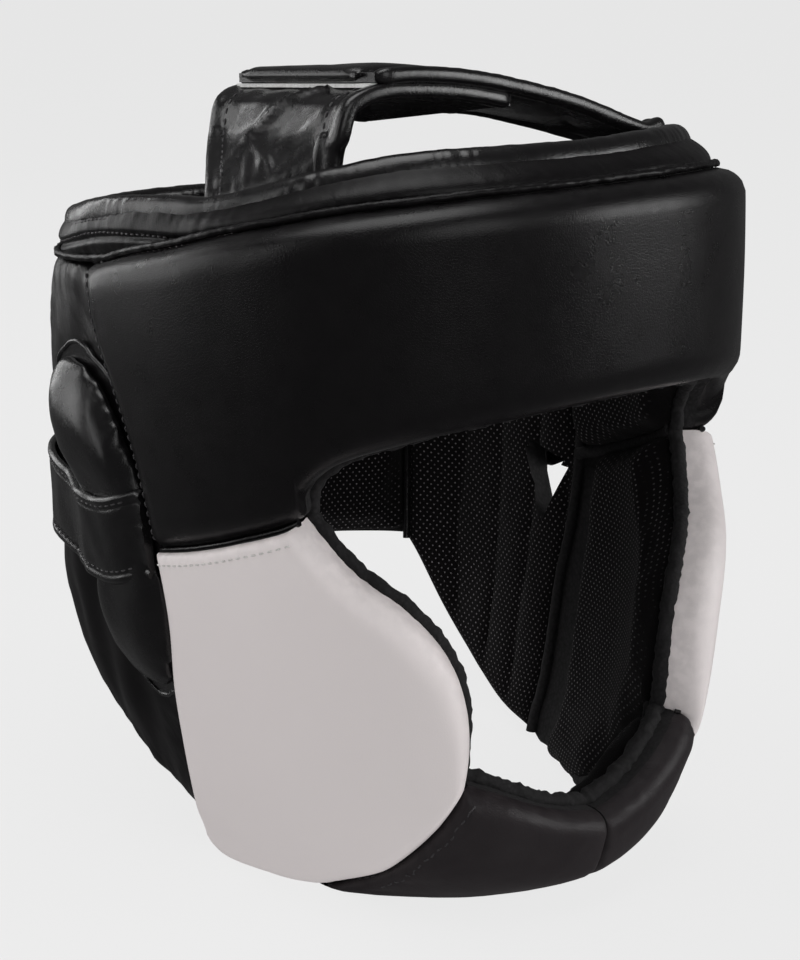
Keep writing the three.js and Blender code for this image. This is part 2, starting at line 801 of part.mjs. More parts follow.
// The row where a wing passes the rim, at a height above it.
function rimRow(sign, above) {
  return Array.from({ length: wingSteps + 1 }, (_, j) => {
    const turn = wingTurns.front + ((wingTurns.rear - wingTurns.front) * j) / wingSteps;
    const point = skin(turn, lineHeight(rimLine, turn) + above, rimDepth(turn) + wingSeat);
    return new THREE.Vector3(sign * point.x, point.y, point.z);
  });
}

// The direction out of a wing's upper face at one point, across the head.
function outward(rows, i, j, sign) {
  const before = rows[Math.max(i - 1, 0)][j];
  const after = rows[Math.min(i + 1, rows.length - 1)][j];
  return new THREE.Vector3(sign * (after.z - before.z), 0, -sign * (after.x - before.x)).normalize();
}

// The face below a wing's upper face.
function lowered(rows, thickness, sign) {
  return rows.map((row, i) => row.map(
    (point, j) => point.clone().addScaledVector(outward(rows, i, j, sign), -thickness),
  ));
}

function wingRows(sign) {
  const base = [rimRow(sign, -wingTuck), rimRow(sign, pipingRadius + bindingRadius)];
  if (sign > 0) {
    return [...base, ...[...lapProfile].reverse().map((row) => crownRow(row, 0))];
  }
  const lapped = lapProfile.slice(0, 4).map((row) => crownRow(row, lapLift));
  return [...base, ...rightRise.map((row) => crownRow(row, 0)), ...lapped];
}

// A bound edge that follows the end of every row of a wing, from the rim on.
function binding(rows, end, sign) {
  const column = end < 0 ? 0 : wingSteps;
  const rings = rows.slice(1).map((row, i) => {
    const out = outward(rows, i + 1, column, sign);
    const middle = row[column].clone().addScaledVector(out, -wingThickness / 2);
    middle.y += end * (bindingRadius + layerGap);
    return Array.from({ length: bindingSides }, (_, k) => {
      const angle = (k / bindingSides) * 2 * Math.PI;
      const point = middle.clone().addScaledVector(out, bindingRadius * Math.sin(angle));
      point.y += bindingRadius * Math.cos(angle);
      return point;
    });
  });
  return loft(rings, false);
}

for (const { name, sign } of sides) {
  const rows = wingRows(sign);
  add(`top_wing_${name}`, between(rows, lowered(rows, wingThickness, sign)), softLeather);
  add(`wing_binding_front_${name}`, binding(rows, -1, sign), softLeather);
  add(`wing_binding_rear_${name}`, binding(rows, 1, sign), softLeather);
}

// Closure tape between the lapped wings, from the end of the upper one
const tapeStart = wingThickness + layerGap;
const tapeLap = lapProfile.slice(0, 2);
add('closure_tape', between(
  tapeLap.map((row) => crownRow(row, tapeStart)),
  tapeLap.map((row) => crownRow(row, tapeStart + tapeThickness)),
), tapeCloth);

export default group;
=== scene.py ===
"""Looks of a full-face boxing headgear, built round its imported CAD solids."""

import math

import bmesh
import bpy
import numpy as np
from mathutils import Matrix, Vector
from mathutils.bvhtree import BVHTree


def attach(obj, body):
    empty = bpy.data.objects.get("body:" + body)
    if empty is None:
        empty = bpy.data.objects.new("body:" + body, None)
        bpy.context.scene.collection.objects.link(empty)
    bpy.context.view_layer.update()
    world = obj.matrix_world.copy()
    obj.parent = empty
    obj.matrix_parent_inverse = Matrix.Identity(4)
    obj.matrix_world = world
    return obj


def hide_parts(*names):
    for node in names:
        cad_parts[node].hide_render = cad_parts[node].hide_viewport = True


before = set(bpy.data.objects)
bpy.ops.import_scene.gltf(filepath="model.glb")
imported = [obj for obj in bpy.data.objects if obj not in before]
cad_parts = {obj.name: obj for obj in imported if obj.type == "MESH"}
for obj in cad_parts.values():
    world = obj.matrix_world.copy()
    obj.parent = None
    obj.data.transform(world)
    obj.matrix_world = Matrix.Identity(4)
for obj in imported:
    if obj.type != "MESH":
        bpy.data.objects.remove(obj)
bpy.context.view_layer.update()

# Sizes in millimetres, as in the CAD
MM = 0.001
HALF_WIDTH = 109.0
FRONT_REACH = 119.0
BACK_REACH = 125.0
SHELL = 241.0
POWER = 2.4
COVER = 15.0
LINING = 11.0
PANEL_SINK = 8.0
PANEL_BULGE = 7.0
PANEL_DEPTH = 4.5
SIDE_LINING = 5.0
BACK_LINING = 11.0
COLLAR_THICKNESS = 4.5
COLLAR_SINK = 10.0
COLLAR_PUFF = 1.0
PIPING = 3.0
WING_THICKNESS = 3.0
WING_WIDTH = 74.0
WING_MIDDLE = -23.0
WING_TUCK = 9.0
BINDING = 2.1
CROWN_RISE = 34.0
TAPE = 1.2
EAR_HEIGHT = 116.0
EAR_WIDTH = 42.0
EAR_DEPTH = 11.0
STRAP_WIDTH = 32.0
STRAP_THICKNESS = 2.6
EAR_SLIP = 11.0
LAYER_GAP = 0.3
SEAT = -1.2
INSET = 0.4

# Head outline: height, width, front, back and squareness, as shares
SECTIONS = np.array([
    (0.0, 0.785, 0.8, 0.8, 0.73),
    (0.0415, 0.803, 0.925, 0.85, 0.76),
    (0.083, 0.836, 0.965, 0.89, 0.83),
    (0.19, 0.88, 1.003, 0.93, 0.94),
    (0.373, 0.936, 1.0, 0.975, 1),
    (0.54, 0.982, 0.995, 0.99, 1),
    (0.747, 1.0, 0.992, 1.0, 1),
    (0.913, 0.99, 0.99, 0.99, 1),
    (1.0, 0.97, 0.985, 0.965, 1),
    (1.05, 0.935, 0.96, 0.93, 1),
    (1.1, 0.88, 0.91, 0.87, 1),
])

# Edges: turn from the front in degrees, share of the shell's height
BROW_EDGE = [
    (89.4, 0.481), (77, 0.508), (65, 0.541), (53.4, 0.581), (52.4, 0.618),
    (47, 0.66), (37, 0.69), (25, 0.711), (12, 0.722), (0, 0.7245),
]
BAND_TOP = [109.5, 97, 82, 68, 58, 47, 37, 25, 12, 0]
SHELL_REAR = [
    (89.4, 0.481), (91.3, 0.555), (94.8, 0.63), (100, 0.705), (106.5, 0.785), (109.5, 0.863),
]
CHEEK_REAR = [
    (92, 0.012), (91.5, 0.12), (91.3, 0.2), (91, 0.28), (89.4, 0.36), (89, 0.42), (89.4, 0.481),
]
CHEEK_FRONT = [
    (26.1, 0.216), (25.4, 0.28), (26.3, 0.345), (29.5, 0.405), (36, 0.462), (45, 0.512),
    (53.4, 0.581),
]
CHEEK_FOOT = [
    (92, 0.012), (84, -0.012), (72, -0.012), (60, -0.012), (50, 0.012), (40, 0.054),
    (31.5, 0.133), (26.1, 0.216),
]
CHIN_TOP = [(26.1, 0.216), (20.4, 0.199), (9.2, 0.158), (0, 0.137)]
CHIN_FOOT = [(60, -0.012), (40, -0.012), (20, -0.012), (0, -0.012)]
PANEL_FOOT = [(92, 0.012), (107, 0.04), (120, 0.08), (131, 0.15), (140, 0.26)]
BACK_FOOT = [(140, 0.26), (160, 0.275), (180, 0.28), (200, 0.275), (220, 0.26)]
PANEL_BACK = [(140, 0.26), (140, 0.838)]
CROWN_LINE = np.array([
    (0, 1.007), (12, 1.006), (25, 1.002), (37, 0.992), (47, 0.98), (58, 0.961), (68, 0.943),
    (82, 0.914), (97, 0.888), (109.5, 0.863), (125, 0.846), (140, 0.838), (180, 0.83),
])
RIM_LINE = np.array([
    (0, 1.04), (20, 1.041), (37, 1.034), (54, 1.008), (63, 0.989), (76, 0.966), (92, 0.956),
    (110, 0.938), (129, 0.902), (145, 0.89), (180, 0.88),
])
RIM_SINK = np.array([
    (0, 1.8), (40, 1.65), (65, 1.55), (90, 1.25), (110, 0.85), (129, 0.5), (150, 0.6), (180, 0.9),
])
PANEL_SINKS = np.array([
    (90, 1), (103, 1), (116, 0.65), (128, 0.15), (138, 0.06), (152, 0.6), (166, 1), (180, 1.15),
])
PANEL_BULGES = np.array([
    (0, 0.2), (0.12, 0.6), (0.24, 1), (0.36, 1), (0.48, 0.6), (0.6, 0.4), (0.72, 0.35),
    (0.85, 0), (1, 0),
])
LAP = [
    (-0.5, 1.0, 0.82), (-0.37, 1.0, 0.79), (-0.19, 0.94, 0.64), (0.0, 0.82, 0.46),
    (0.26, 0.6, 0.38), (0.53, 0.29, 0.24),
]
RIGHT_RISE = [(-0.63, 0.5, 0.3), (-0.595, 0.75, 0.58)]
WING_TURNS = (50, 80)
EAR_ROWS = np.array([
    (0.0, 101.5, 0.3, 0.35), (0.05, 101.5, 0.62, 0.7), (0.15, 101.8, 0.86, 0.95),
    (0.28, 102.3, 0.94, 0.92), (0.4, 103, 0.96, 0.66), (0.5, 104, 0.97, 0.56),
    (0.6, 105.5, 1.0, 0.66), (0.72, 108, 1.0, 0.95), (0.85, 111.5, 0.9, 1.0),
    (0.95, 114, 0.66, 0.7), (1.0, 115, 0.32, 0.35),
])
EAR_FOOT = 0.245
STRAP_ROWS = np.array([
    (93.2, 0.5, 0.2), (96, 0.49, 0.5), (100, 0.478, 0.72), (105, 0.47, 0.74),
    (110, 0.47, 0.64), (115, 0.47, 0.34), (121, 0.472, 0), (132, 0.48, 0), (158, 0.495, 0),
])
STRAP_END = 195
LAP_TURN = 162
EAR_HOLE = [(0.03, 0.462), (0.23, 0.478), (0.11, 0.35)]

chance = np.random.default_rng(11)

# Camera: angles in degrees, lengths in millimetres
AZIMUTH, ELEVATION, DISTANCE = -37.8, 17.0, 741
AIM_HEIGHT, AIM_RIGHT, AIM_UP = 130, 1.5, -8.2
LENS, SENSOR = 77.06, 36


def linked(name, data):
    """A new object in the scene."""
    made = bpy.data.objects.new(name, data)
    bpy.context.scene.collection.objects.link(made)
    return made


def make_camera():
    """The camera at the photo's viewing angle."""
    azimuth, elevation = math.radians(AZIMUTH), math.radians(ELEVATION)
    back = Vector((
        math.sin(azimuth) * math.cos(elevation),
        -math.cos(azimuth) * math.cos(elevation),
        math.sin(elevation),
    ))
    right = (-back).cross(Vector((0, 0, 1))).normalized()
    up = right.cross(-back)
    place = Vector((0, 0, AIM_HEIGHT)) + back * DISTANCE + right * AIM_RIGHT + up * AIM_UP
    data = bpy.data.cameras.new("camera")
    data.sensor_width, data.lens = SENSOR, LENS
    data.clip_start, data.clip_end = 0.05, 50
    camera = linked("camera", data)
    turned = Matrix((right, up, back)).transposed().to_4x4()
    camera.matrix_world = Matrix.Translation(place * MM) @ turned
    bpy.context.scene.camera = camera


make_camera()


# Curves and surfaces

def smooth(xs, ys, x):
    """A smooth curve through the points (xs, ys), at x."""
    xs, ys, x = np.asarray(xs, float), np.asarray(ys, float), np.asarray(x, float)
    last = len(xs) - 1
    before = np.maximum(np.arange(len(xs)) - 1, 0)
    after = np.minimum(np.arange(len(xs)) + 1, last)
    slope = (ys[after] - ys[before]) / (xs[after] - xs[before])
    i = np.clip(np.searchsorted(xs, x) - 1, 0, last - 1)
    span = xs[i + 1] - xs[i]
    t = np.clip((x - xs[i]) / span, 0, 1)
    cubic = (2 * ys[i] - 2 * ys[i + 1] + span * (slope[i] + slope[i + 1])) * t ** 3
    square = (3 * ys[i + 1] - 3 * ys[i] - span * (2 * slope[i] + slope[i + 1])) * t ** 2
    return cubic + square + span * slope[i] * t + ys[i]


def row_value(rows, x, column=1):
    """A column of a table as a smooth curve over its first column."""
    return smooth(rows[:, 0], rows[:, column], x)


def skin(turn, z, depth):
    """Points of the head at a turn from the front and a height, that deep below its outer face."""
    turn, z, depth = np.broadcast_arrays(
        np.asarray(turn, float), np.asarray(z, float), np.asarray(depth, float)
    )
    share = z / SHELL
    across, along = np.sin(np.radians(turn)), -np.cos(np.radians(turn))
    width = row_value(SECTIONS, share) * HALF_WIDTH - depth
    front = row_value(SECTIONS, share, 2) * FRONT_REACH - depth
    back = row_value(SECTIONS, share, 3) * BACK_REACH - depth
    reach = np.where(along < 0, front, back)
    power = row_value(SECTIONS, share, 4) * POWER
    radius = (np.abs(across / width) ** power + np.abs(along / reach) ** power) ** (-1 / power)
    return np.stack([across * radius, along * radius, z], -1)


def folded(turn):
    """A turn to either side as one from 0 to 180."""
    return np.abs((np.asarray(turn, float) + 180) % 360 - 180)


def line_height(rows, turn):
    """Height of the crown line or the rim line at a turn."""
    return row_value(rows, folded(turn)) * SHELL


def panel_face(turn, z):
    """Depth of the panels' face: deep behind the cheek, out at the rear corners."""
    sink = row_value(PANEL_SINKS, folded(turn))
    bulge = row_value(PANEL_BULGES, np.asarray(z, float) / SHELL)
    return sink * PANEL_SINK - np.maximum(0, 1 - sink) * bulge * PANEL_BULGE


def rim_depth(turn):
    """Depth of the collar's face at the rim."""
    return row_value(RIM_SINK, folded(turn)) * COLLAR_SINK


def edge(rows, start=0.0, end=1.0):
    """A curve through rows of turn and height, from one share of them to another."""
    rows = np.array(rows, float)
    places = np.arange(len(rows))

    def curve(t):
        x = (start + (end - start) * np.asarray(t, float)) * (len(rows) - 1)
        return np.stack([smooth(places, rows[:, 0], x), smooth(places, rows[:, 1], x) * SHELL], -1)

    return curve


def crown_edge(turns):
    """A curve along the crown line, through the given turns."""
    places = np.arange(len(turns))

    def curve(t):
        turn = smooth(places, turns, np.asarray(t, float) * (len(turns) - 1))
        return np.stack([turn, line_height(CROWN_LINE, turn)], -1)

    return curve


def both_sides(half):
    """A curve from one side over the front to the other, from its half."""

    def curve(t):
        t = np.asarray(t, float)
        point = half(np.where(t < 0.5, 2 * t, 2 - 2 * t))
        return point * np.stack([np.where(t < 0.5, -1.0, 1.0), np.ones_like(t)], -1)

    return curve


def mirrored(curve):
    """The same curve on the other side."""
    return lambda t: curve(t) * np.array([-1.0, 1.0])


def joined(first, second, joint):
    """Two curves as one, the second from the share joint on."""

    def curve(t):
        t = np.asarray(t, float)
        low = first(np.clip(t / joint, 0, 1))
        high = second(np.clip((t - joint) / (1 - joint), 0, 1))
        return np.where((t < joint)[..., None], low, high)

    return curve


def field(foot, top, start, end, sign=1, face=None):
    """The surface between four edges, as a function of u, v and depth."""

    def shape(u, v, depth):
        u, v = np.broadcast_arrays(np.asarray(u, float), np.asarray(v, float))
        a, b = u[..., None], v[..., None]
        sides = (1 - b) * foot(u) + b * top(u) + (1 - a) * start(v) + a * end(v)
        zero, one = np.zeros_like(u), np.ones_like(u)
        low = (1 - a) * foot(zero) + a * foot(one)
        high = (1 - a) * top(zero) + a * top(one)
        place = sides - (1 - b) * low - b * high
        if face is not None:
            depth = depth + face(place[..., 0], place[..., 1])
        return skin(place[..., 0], place[..., 1], depth) * np.array([sign, 1, 1])

    return shape


def run_along(points):
    """Distance from the first point of a line to each of its points."""
    return np.cumsum(np.r_[0, np.linalg.norm(np.diff(points, axis=0), axis=-1)])


def bell(x, middle, width):
    """A smooth bump of height 1."""
    return np.exp(-((x - middle) / width) ** 2)


def eased(x, power):
    """x to a power, with its sign kept."""
    return np.sign(x) * np.abs(x) ** power


def quarter(q):
    """Drop of a quarter round, for q from 0 at its inner end to 1 at the edge."""
    return 1 - np.sqrt(1 - q * q)


def angles(count):
    """Angles all round."""
    return np.linspace(0, 2 * math.pi, count, endpoint=False)


# Noise

MIXED = np.concatenate([chance.permutation(256)] * 2)
GRADIENTS = chance.normal(size=(256, 3))
GRADIENTS /= np.linalg.norm(GRADIENTS, axis=1)[:, None]


def noise(p):
    """Smooth noise from about -1 to 1 at points p."""
    base = np.floor(p)
    f = p - base
    i = base.astype(int) & 255
    w = f ** 3 * (f * (f * 6 - 15) + 10)
    total = 0
    for corner in np.ndindex(2, 2, 2):
        j = (i + corner) & 255
        h = MIXED[MIXED[MIXED[j[..., 0]] + j[..., 1]] + j[..., 2]]
        weight = np.prod(np.where(corner, w, 1 - w), -1)
        total = total + weight * np.sum(GRADIENTS[h] * (f - corner), -1)
    return total * 1.7


def noise_at(*place):
    """Noise at three coordinates, each a number or an array."""
    return noise(np.stack(np.broadcast_arrays(*place), -1))


def undulation(points, size, height):
    """Gentle waves of a face."""
    return noise(points / size) * height


def round_noise(turn, other, wave, tall, seed=0.0):
    """Noise that closes round the head, with waves in millimetres."""
    a = np.radians(turn)
    return noise_at(
        np.cos(a) * 100 / wave, np.sin(a) * 100 / wave, np.asarray(other, float) / tall + seed,
    )


# Meshes


def write_cloth(mesh, uv, **shares):
    """Writes the cloth's coordinates, where there are any, and the shares that materials read."""
    if uv is not None:
        index = np.zeros(len(mesh.loops), int)
        mesh.loops.foreach_get("vertex_index", index)
        layer = mesh.uv_layers.get("cloth") or mesh.uv_layers.new(name="cloth")
        layer.data.foreach_set("uv", np.asarray(uv, float)[index].ravel())
    for label, share in shares.items():
        held = mesh.attributes.get(label)
        if held:
            mesh.attributes.remove(held)
        values = np.full(len(mesh.vertices), share, np.float32)
        mesh.attributes.new(label, "FLOAT", "POINT").data.foreach_set("value", values)


def make_object(name, points, faces, material, uv=None, wear=0.3, pull=0.3, replaces=(),
                sharp=50, back=None, back_from=None):
    """A piece from points in millimetres, with the back material where back_from says so.

    uv is in millimetres of cloth. wear and pull go from 0 to 1, over the piece or for each point.
    """
    mesh = bpy.data.meshes.new(name)
    mesh.from_pydata((np.asarray(points) * MM).tolist(), [], faces)
    mesh.validate()
    write_cloth(mesh, uv, wear=wear, pull=pull)
    made = bmesh.new()
    made.from_mesh(mesh)
    bmesh.ops.recalc_face_normals(made, faces=made.faces)
    made.to_mesh(mesh)
    made.free()
    mesh.shade_smooth()
    mesh.set_sharp_from_angle(angle=math.radians(sharp))
    mesh.materials.append(material)
    if back is not None:
        mesh.materials.append(back)
        inside = [int(back_from(face.vertices)) for face in mesh.polygons]
        mesh.polygons.foreach_set("material_index", inside)
    made = linked(name, mesh)
    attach(made, "root")
    if replaces:
        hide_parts(*replaces)
    return made


def slab(name, upper, lower, material, uv=None, wear=0.3, pull=0.3, **more):
    """A closed piece between two grids of points. Both have the same cloth, wear and pull."""
    rows, columns = upper.shape[:2]
    size = rows * columns
    index = np.arange(size).reshape(rows, columns)
    quads = np.stack([index[:-1, :-1], index[1:, :-1], index[1:, 1:], index[:-1, 1:]], -1)
    quads = quads.reshape(-1, 4)
    rim = np.concatenate([index[0], index[1:, -1], index[-1, -2::-1], index[-2:0:-1, 0]])
    ahead = np.roll(rim, -1)
    walls = np.stack([rim, ahead, ahead + size, rim + size], -1)
    faces = np.concatenate([quads, quads[:, ::-1] + size, walls]).tolist()
    if uv is not None:
        uv = np.broadcast_to(uv, (2, rows, columns, 2)).reshape(-1, 2)
    wear, pull = (np.broadcast_to(share, (2, rows, columns)).ravel() for share in (wear, pull))
    points = np.stack([upper, lower]).reshape(-1, 3)
    return make_object(name, points, faces, material, uv=uv, wear=wear, pull=pull, **more)


END_STEPS = np.array([0.0, 0.6, 1.4, 2.4, 3.8])  # millimetres from an edge


def steps(length, step):
    """Places from 0 to 1 along a side, close together near both ends."""
    t = np.linspace(0, 1, max(6, int(length / step)) + 1)
    ends = END_STEPS / length
    inner = t[(t > ends[-1] * 1.3) & (t < 1 - ends[-1] * 1.3)]
    return np.concatenate([ends, inner, 1 - ends[::-1]])


def arcs(points, axis):
    """Distance along one axis of a grid, from its start and from its end."""
    step = np.linalg.norm(np.diff(points, axis=axis), axis=-1)
    start = np.concatenate([np.zeros_like(np.take(step, [0], axis)), np.cumsum(step, axis)], axis)
    return start, np.take(start, [-1], axis) - start


ROUND_TURNS = np.linspace(-180, 180, 721)
ROUND_LENGTHS = run_along(skin(ROUND_TURNS, 130, 15))


def unrolled(points):
    """Cloth coordinates of points on the head: the length round it, and the height."""
    around = np.degrees(np.arctan2(points[..., 0], -points[..., 1]))
    return np.stack([np.interp(around, ROUND_TURNS, ROUND_LENGTHS), points[..., 2]], -1)


class Pad:
    """A padded piece over part of a field, with its own distances to its edges."""

    OUTWARD = {"start": (0, -1), "end": (0, 1), "foot": (1, -1), "top": (1, 1)}

    def __init__(self, shape, columns=(0.0, 1.0), step=2.0):
        first, last = columns
        length_u = run_along(shape(np.linspace(first, last, 40), 0.5, 0))[-1]
        length_v = run_along(shape((first + last) / 2, np.linspace(0, 1, 40), 0))[-1]
        inset_u, inset_v = INSET / length_u, INSET / length_v
        u = first + (last - first) * (inset_u + (1 - 2 * inset_u) * steps(length_u, step))
        v = inset_v + (1 - 2 * inset_v) * steps(length_v, step)
        self.u, self.v = np.meshgrid(u, v, indexing="ij")
        self.shape = shape
        self.base = shape(self.u, self.v, 0)
        self.start, self.end = arcs(self.base, 0)
        self.foot, self.top = arcs(self.base, 1)
        self.uv = unrolled(self.base)

    def roll(self, radius):
        """Share of the fall of an edge that is rolled all round."""
        across = np.maximum(1 - self.start / radius, 1 - self.end / radius).clip(0)
        along = np.maximum(1 - self.foot / radius, 1 - self.top / radius).clip(0)
        return quarter(np.minimum(1, np.hypot(across, along)))

    def fall(self, **sides):
        """Depth of the rolled edges, from a radius and a depth for each side."""
        total = 0
        for side, (radius, depth) in sides.items():
            drop = depth * quarter(np.clip(1 - getattr(self, side) / radius, 0, 1))
            total = total + drop ** 4
            along, towards = self.OUTWARD[side]
            self.uv[..., along] += towards * drop
        return total ** 0.25

    def nearest(self):
        """Distance to the nearest edge."""
        return np.minimum(np.minimum(self.start, self.end), np.minimum(self.foot, self.top))

    def faces(self, depth):
        """The pad's points at a depth."""
        return self.shape(self.u, self.v, depth)


PRESSED = 3.0  # height below which pads flatten on the table
TABLE_GAP = 0.05
WEAR_REACH, PULL_REACH = 3.0, 16.0


def rest_on_table(points):
    """Presses what would lie below the table flat on it."""
    lifted = points.copy()
    z = points[..., 2]
    low = z < PRESSED
    soft = np.where(low, PRESSED * np.exp(np.minimum(z - PRESSED, 0) / PRESSED), z)
    lifted[..., 2] = np.maximum(soft - 1.1 * low * np.clip((PRESSED - z) / 4, 0, 1), TABLE_GAP)
    return lifted


def shell(name, pad, outer, inner, material, node, flat=False, back=None):
    """A closed piece between two depths of a pad, in the place of a CAD node."""
    upper, lower = pad.faces(outer), pad.faces(inner)
    if flat:
        upper, lower = rest_on_table(upper), rest_on_table(lower)
    rows, columns = pad.u.shape

    def hidden(vertices):
        """True on the inner side and on the side walls, but for the wall at the pad's end."""
        at_end = min(v % (rows * columns) for v in vertices) >= (rows - 1) * columns
        return min(vertices) >= rows * columns or (max(vertices) >= rows * columns and not at_end)

    return slab(
        name, upper, lower, material, pad.uv, np.exp(-pad.nearest() / WEAR_REACH),
        np.exp(-pad.nearest() / PULL_REACH), replaces=[node], back=back, back_from=hidden,
    )


# Materials

class Nodes:
    """A material's node tree, with short calls for the nodes used here."""

    def __init__(self, name, slot=None):
        self.material = bpy.data.materials.new(name)
        self.material.use_nodes = True
        self.tree = self.material.node_tree
        self.shader = self.tree.nodes["Principled BSDF"]
        self.where = self.new("ShaderNodeTexCoord").outputs["Object"]

    def new(self, kind, **settings):
        node = self.tree.nodes.new(kind)
        for key, value in settings.items():
            setattr(node, key, value)
        return node

    def put(self, socket, value):
        if hasattr(value, "links"):
            self.tree.links.new(value, socket)
        else:
            socket.default_value = value

    def fill(self, node, **values):
        """Sets inputs by name, with _ for a space."""
        for key, value in values.items():
            self.put(node.inputs[key.replace("_", " ")], value)
        return node

    def math(self, operation, *values):
        node = self.new("ShaderNodeMath", operation=operation)
        for socket, value in zip(node.inputs, values):
            self.put(socket, value)
        return node.outputs[0]

    def noise(self, scale, detail=2.0, roughness=0.5, distortion=0.0, where=None):
        node = self.new("ShaderNodeTexNoise")
        return self.fill(
            node, Vector=where or self.where, Scale=scale, Detail=detail, Roughness=roughness,
            Distortion=distortion,
        ).outputs["Fac"]

    def cells(self, scale, feature="DISTANCE_TO_EDGE"):
        node = self.new("ShaderNodeTexVoronoi", feature=feature)
        return self.fill(node, Vector=self.where, Scale=scale).outputs["Distance"]

    def ramp(self, value, stops):
        """Shades of grey between stops of place and shade."""
        node = self.new("ShaderNodeValToRGB")
        for element, (place, shade) in zip(node.color_ramp.elements, stops):
            element.position = place
            element.color = (shade, shade, shade, 1)
        self.put(node.inputs[0], value)
        return node.outputs["Color"]

    def mix(self, share, *colours):
        node = self.new("ShaderNodeMix", data_type="RGBA")
        self.put(node.inputs[0], share)
        for socket, colour in zip((node.inputs[6], node.inputs[7]), colours):
            self.put(socket, colour if hasattr(colour, "links") else (*colour, 1))
        return node.outputs[2]

    def bump(self, heights):
        """Chains (height, strength, distance in metres) into one normal."""
        normal = None
        for height, strength, distance in heights:
            node = self.new("ShaderNodeBump")
            self.fill(node, Strength=strength, Distance=distance, Height=height)
            if normal is not None:
                self.fill(node, Normal=normal)
            normal = node.outputs["Normal"]
        self.fill(self.shader, Normal=normal)

    def slanted(self, scale, angle=-0.7):
        """The cloth's own coordinates turned by an angle, then stretched."""
        turned = self.fill(
            self.new("ShaderNodeVectorRotate", rotation_type="Z_AXIS"),
            Vector=self.cloth(), Angle=angle,
        ).outputs["Vector"]
        node = self.new("ShaderNodeMapping")
        return self.fill(node, Vector=turned, Scale=scale).outputs["Vector"]

    def attribute(self, name):
        return self.new("ShaderNodeAttribute", attribute_name=name).outputs["Fac"]

    def cloth(self):
        return self.new("ShaderNodeUVMap", uv_map="cloth").outputs["UV"]


def leather(name, slot, dark, light, roughness, grain, crease, specular, coat=0.0, mottle=60):
    """Synthetic leather: grain, faint mottling, creases that gather at seams, paler worn edges."""
    n = Nodes(name, slot)
    colour = n.mix(n.ramp(n.noise(mottle, 4, 0.6), [(0.35, 0.0), (0.7, 1.0)]), dark, light)
    worn = tuple(min(1.0, 1.2 * c + 0.006) for c in light)
    wear, pull = n.attribute("wear"), n.attribute("pull")
    share = n.math("MULTIPLY", wear, n.ramp(n.noise(220, 3), [(0.4, 0.0), (0.62, 0.6)]))
    rough = n.ramp(n.noise(90, 5, 0.65), [(0.3, roughness - 0.05), (0.7, roughness + 0.06)])
    n.fill(
        n.shader, Base_Color=n.mix(share, colour, worn), Roughness=rough,
        Specular_IOR_Level=specular, Coat_Weight=coat, Coat_Roughness=0.2,
    )
    pores = n.ramp(n.cells(1150), [(0.0, 0.0), (0.16, 1.0)])
    fine = n.noise(2400, 2, 0.5)
    lines = n.noise(30, 2, 0.5, 0.8)
    slack = n.noise(1.0, 2, 0.5, 0.6, where=n.slanted((0.11, 0.05, 1.0)))
    hair = n.noise(1.0, 3, 0.6, 0.8, where=n.slanted((0.75, 0.14, 1.0)))
    gathered = n.math("MULTIPLY", n.math("ADD", pull, 0.1), crease)
    n.bump([
        (lines, crease * 0.3, 0.0014),
        (slack, n.math("MULTIPLY", gathered, 0.8), 0.0016),
        (hair, n.math("MULTIPLY", gathered, 0.75), 0.0005),
        (pores, grain, 0.00012),
        (fine, grain * 0.6, 0.0001),
    ])
    return n.material


DOT_PITCH = {"X": 2.9, "Y": 1.7}  # millimetres of cloth


def mesh_cloth(name, slot):
    """Black brushed lining with a staggered grid of small pale dots."""
    n = Nodes(name, slot)
    split = n.new("ShaderNodeSeparateXYZ")
    n.put(split.inputs[0], n.cloth())
    wobble = n.math("MULTIPLY", n.math("SUBTRACT", n.noise(90, 2), 0.5), 0.35)
    x, y = (
        n.math("ADD", n.math("DIVIDE", split.outputs[axis], pitch), wobble)
        for axis, pitch in DOT_PITCH.items()
    )
    row = n.math("FLOOR", y)
    x = n.math("ADD", x, n.math("MULTIPLY", n.math("PINGPONG", row, 1.0), 0.5))
    squares = []
    for place, pitch in zip((x, y), DOT_PITCH.values()):
        off = n.math("MULTIPLY", n.math("SUBTRACT", n.math("FRACT", place), 0.5), pitch)
        squares.append(n.math("MULTIPLY", off, off))
    dot = n.ramp(n.math("SQRT", n.math("ADD", *squares)), [(0.2, 1.0), (0.42, 0.0)])
    dot = n.math("MULTIPLY", dot, n.math("SUBTRACT", 1.0, n.attribute("wear")))
    fuzz = n.noise(1500, 3, 0.7)
    black = n.mix(fuzz, (0.0016, 0.0013, 0.0015), (0.0056, 0.0048, 0.0052))
    pale = n.mix(n.noise(400, 1), (0.02, 0.019, 0.02), (0.26, 0.24, 0.25))
    n.fill(
        n.shader, Base_Color=n.mix(dot, black, pale), Roughness=0.95, Specular_IOR_Level=0.06,
        Sheen_Weight=0.03, Sheen_Roughness=0.5,
    )
    n.bump([(dot, 0.5, 0.0003), (fuzz, 0.6, 0.0004), (n.noise(90, 3), 0.3, 0.0008)])
    return n.material


def plain_cloth(name, slot, dark, light, scale=900, roughness=0.85):
    """Woven tape or thread."""
    n = Nodes(name, slot)
    weave = n.cells(scale, "F1")
    n.fill(n.shader, Base_Color=n.mix(weave, light, dark), Roughness=roughness)
    n.bump([(weave, 0.6, 0.0003), (n.noise(scale * 0.4, 3), 0.4, 0.0003)])
    return n.material


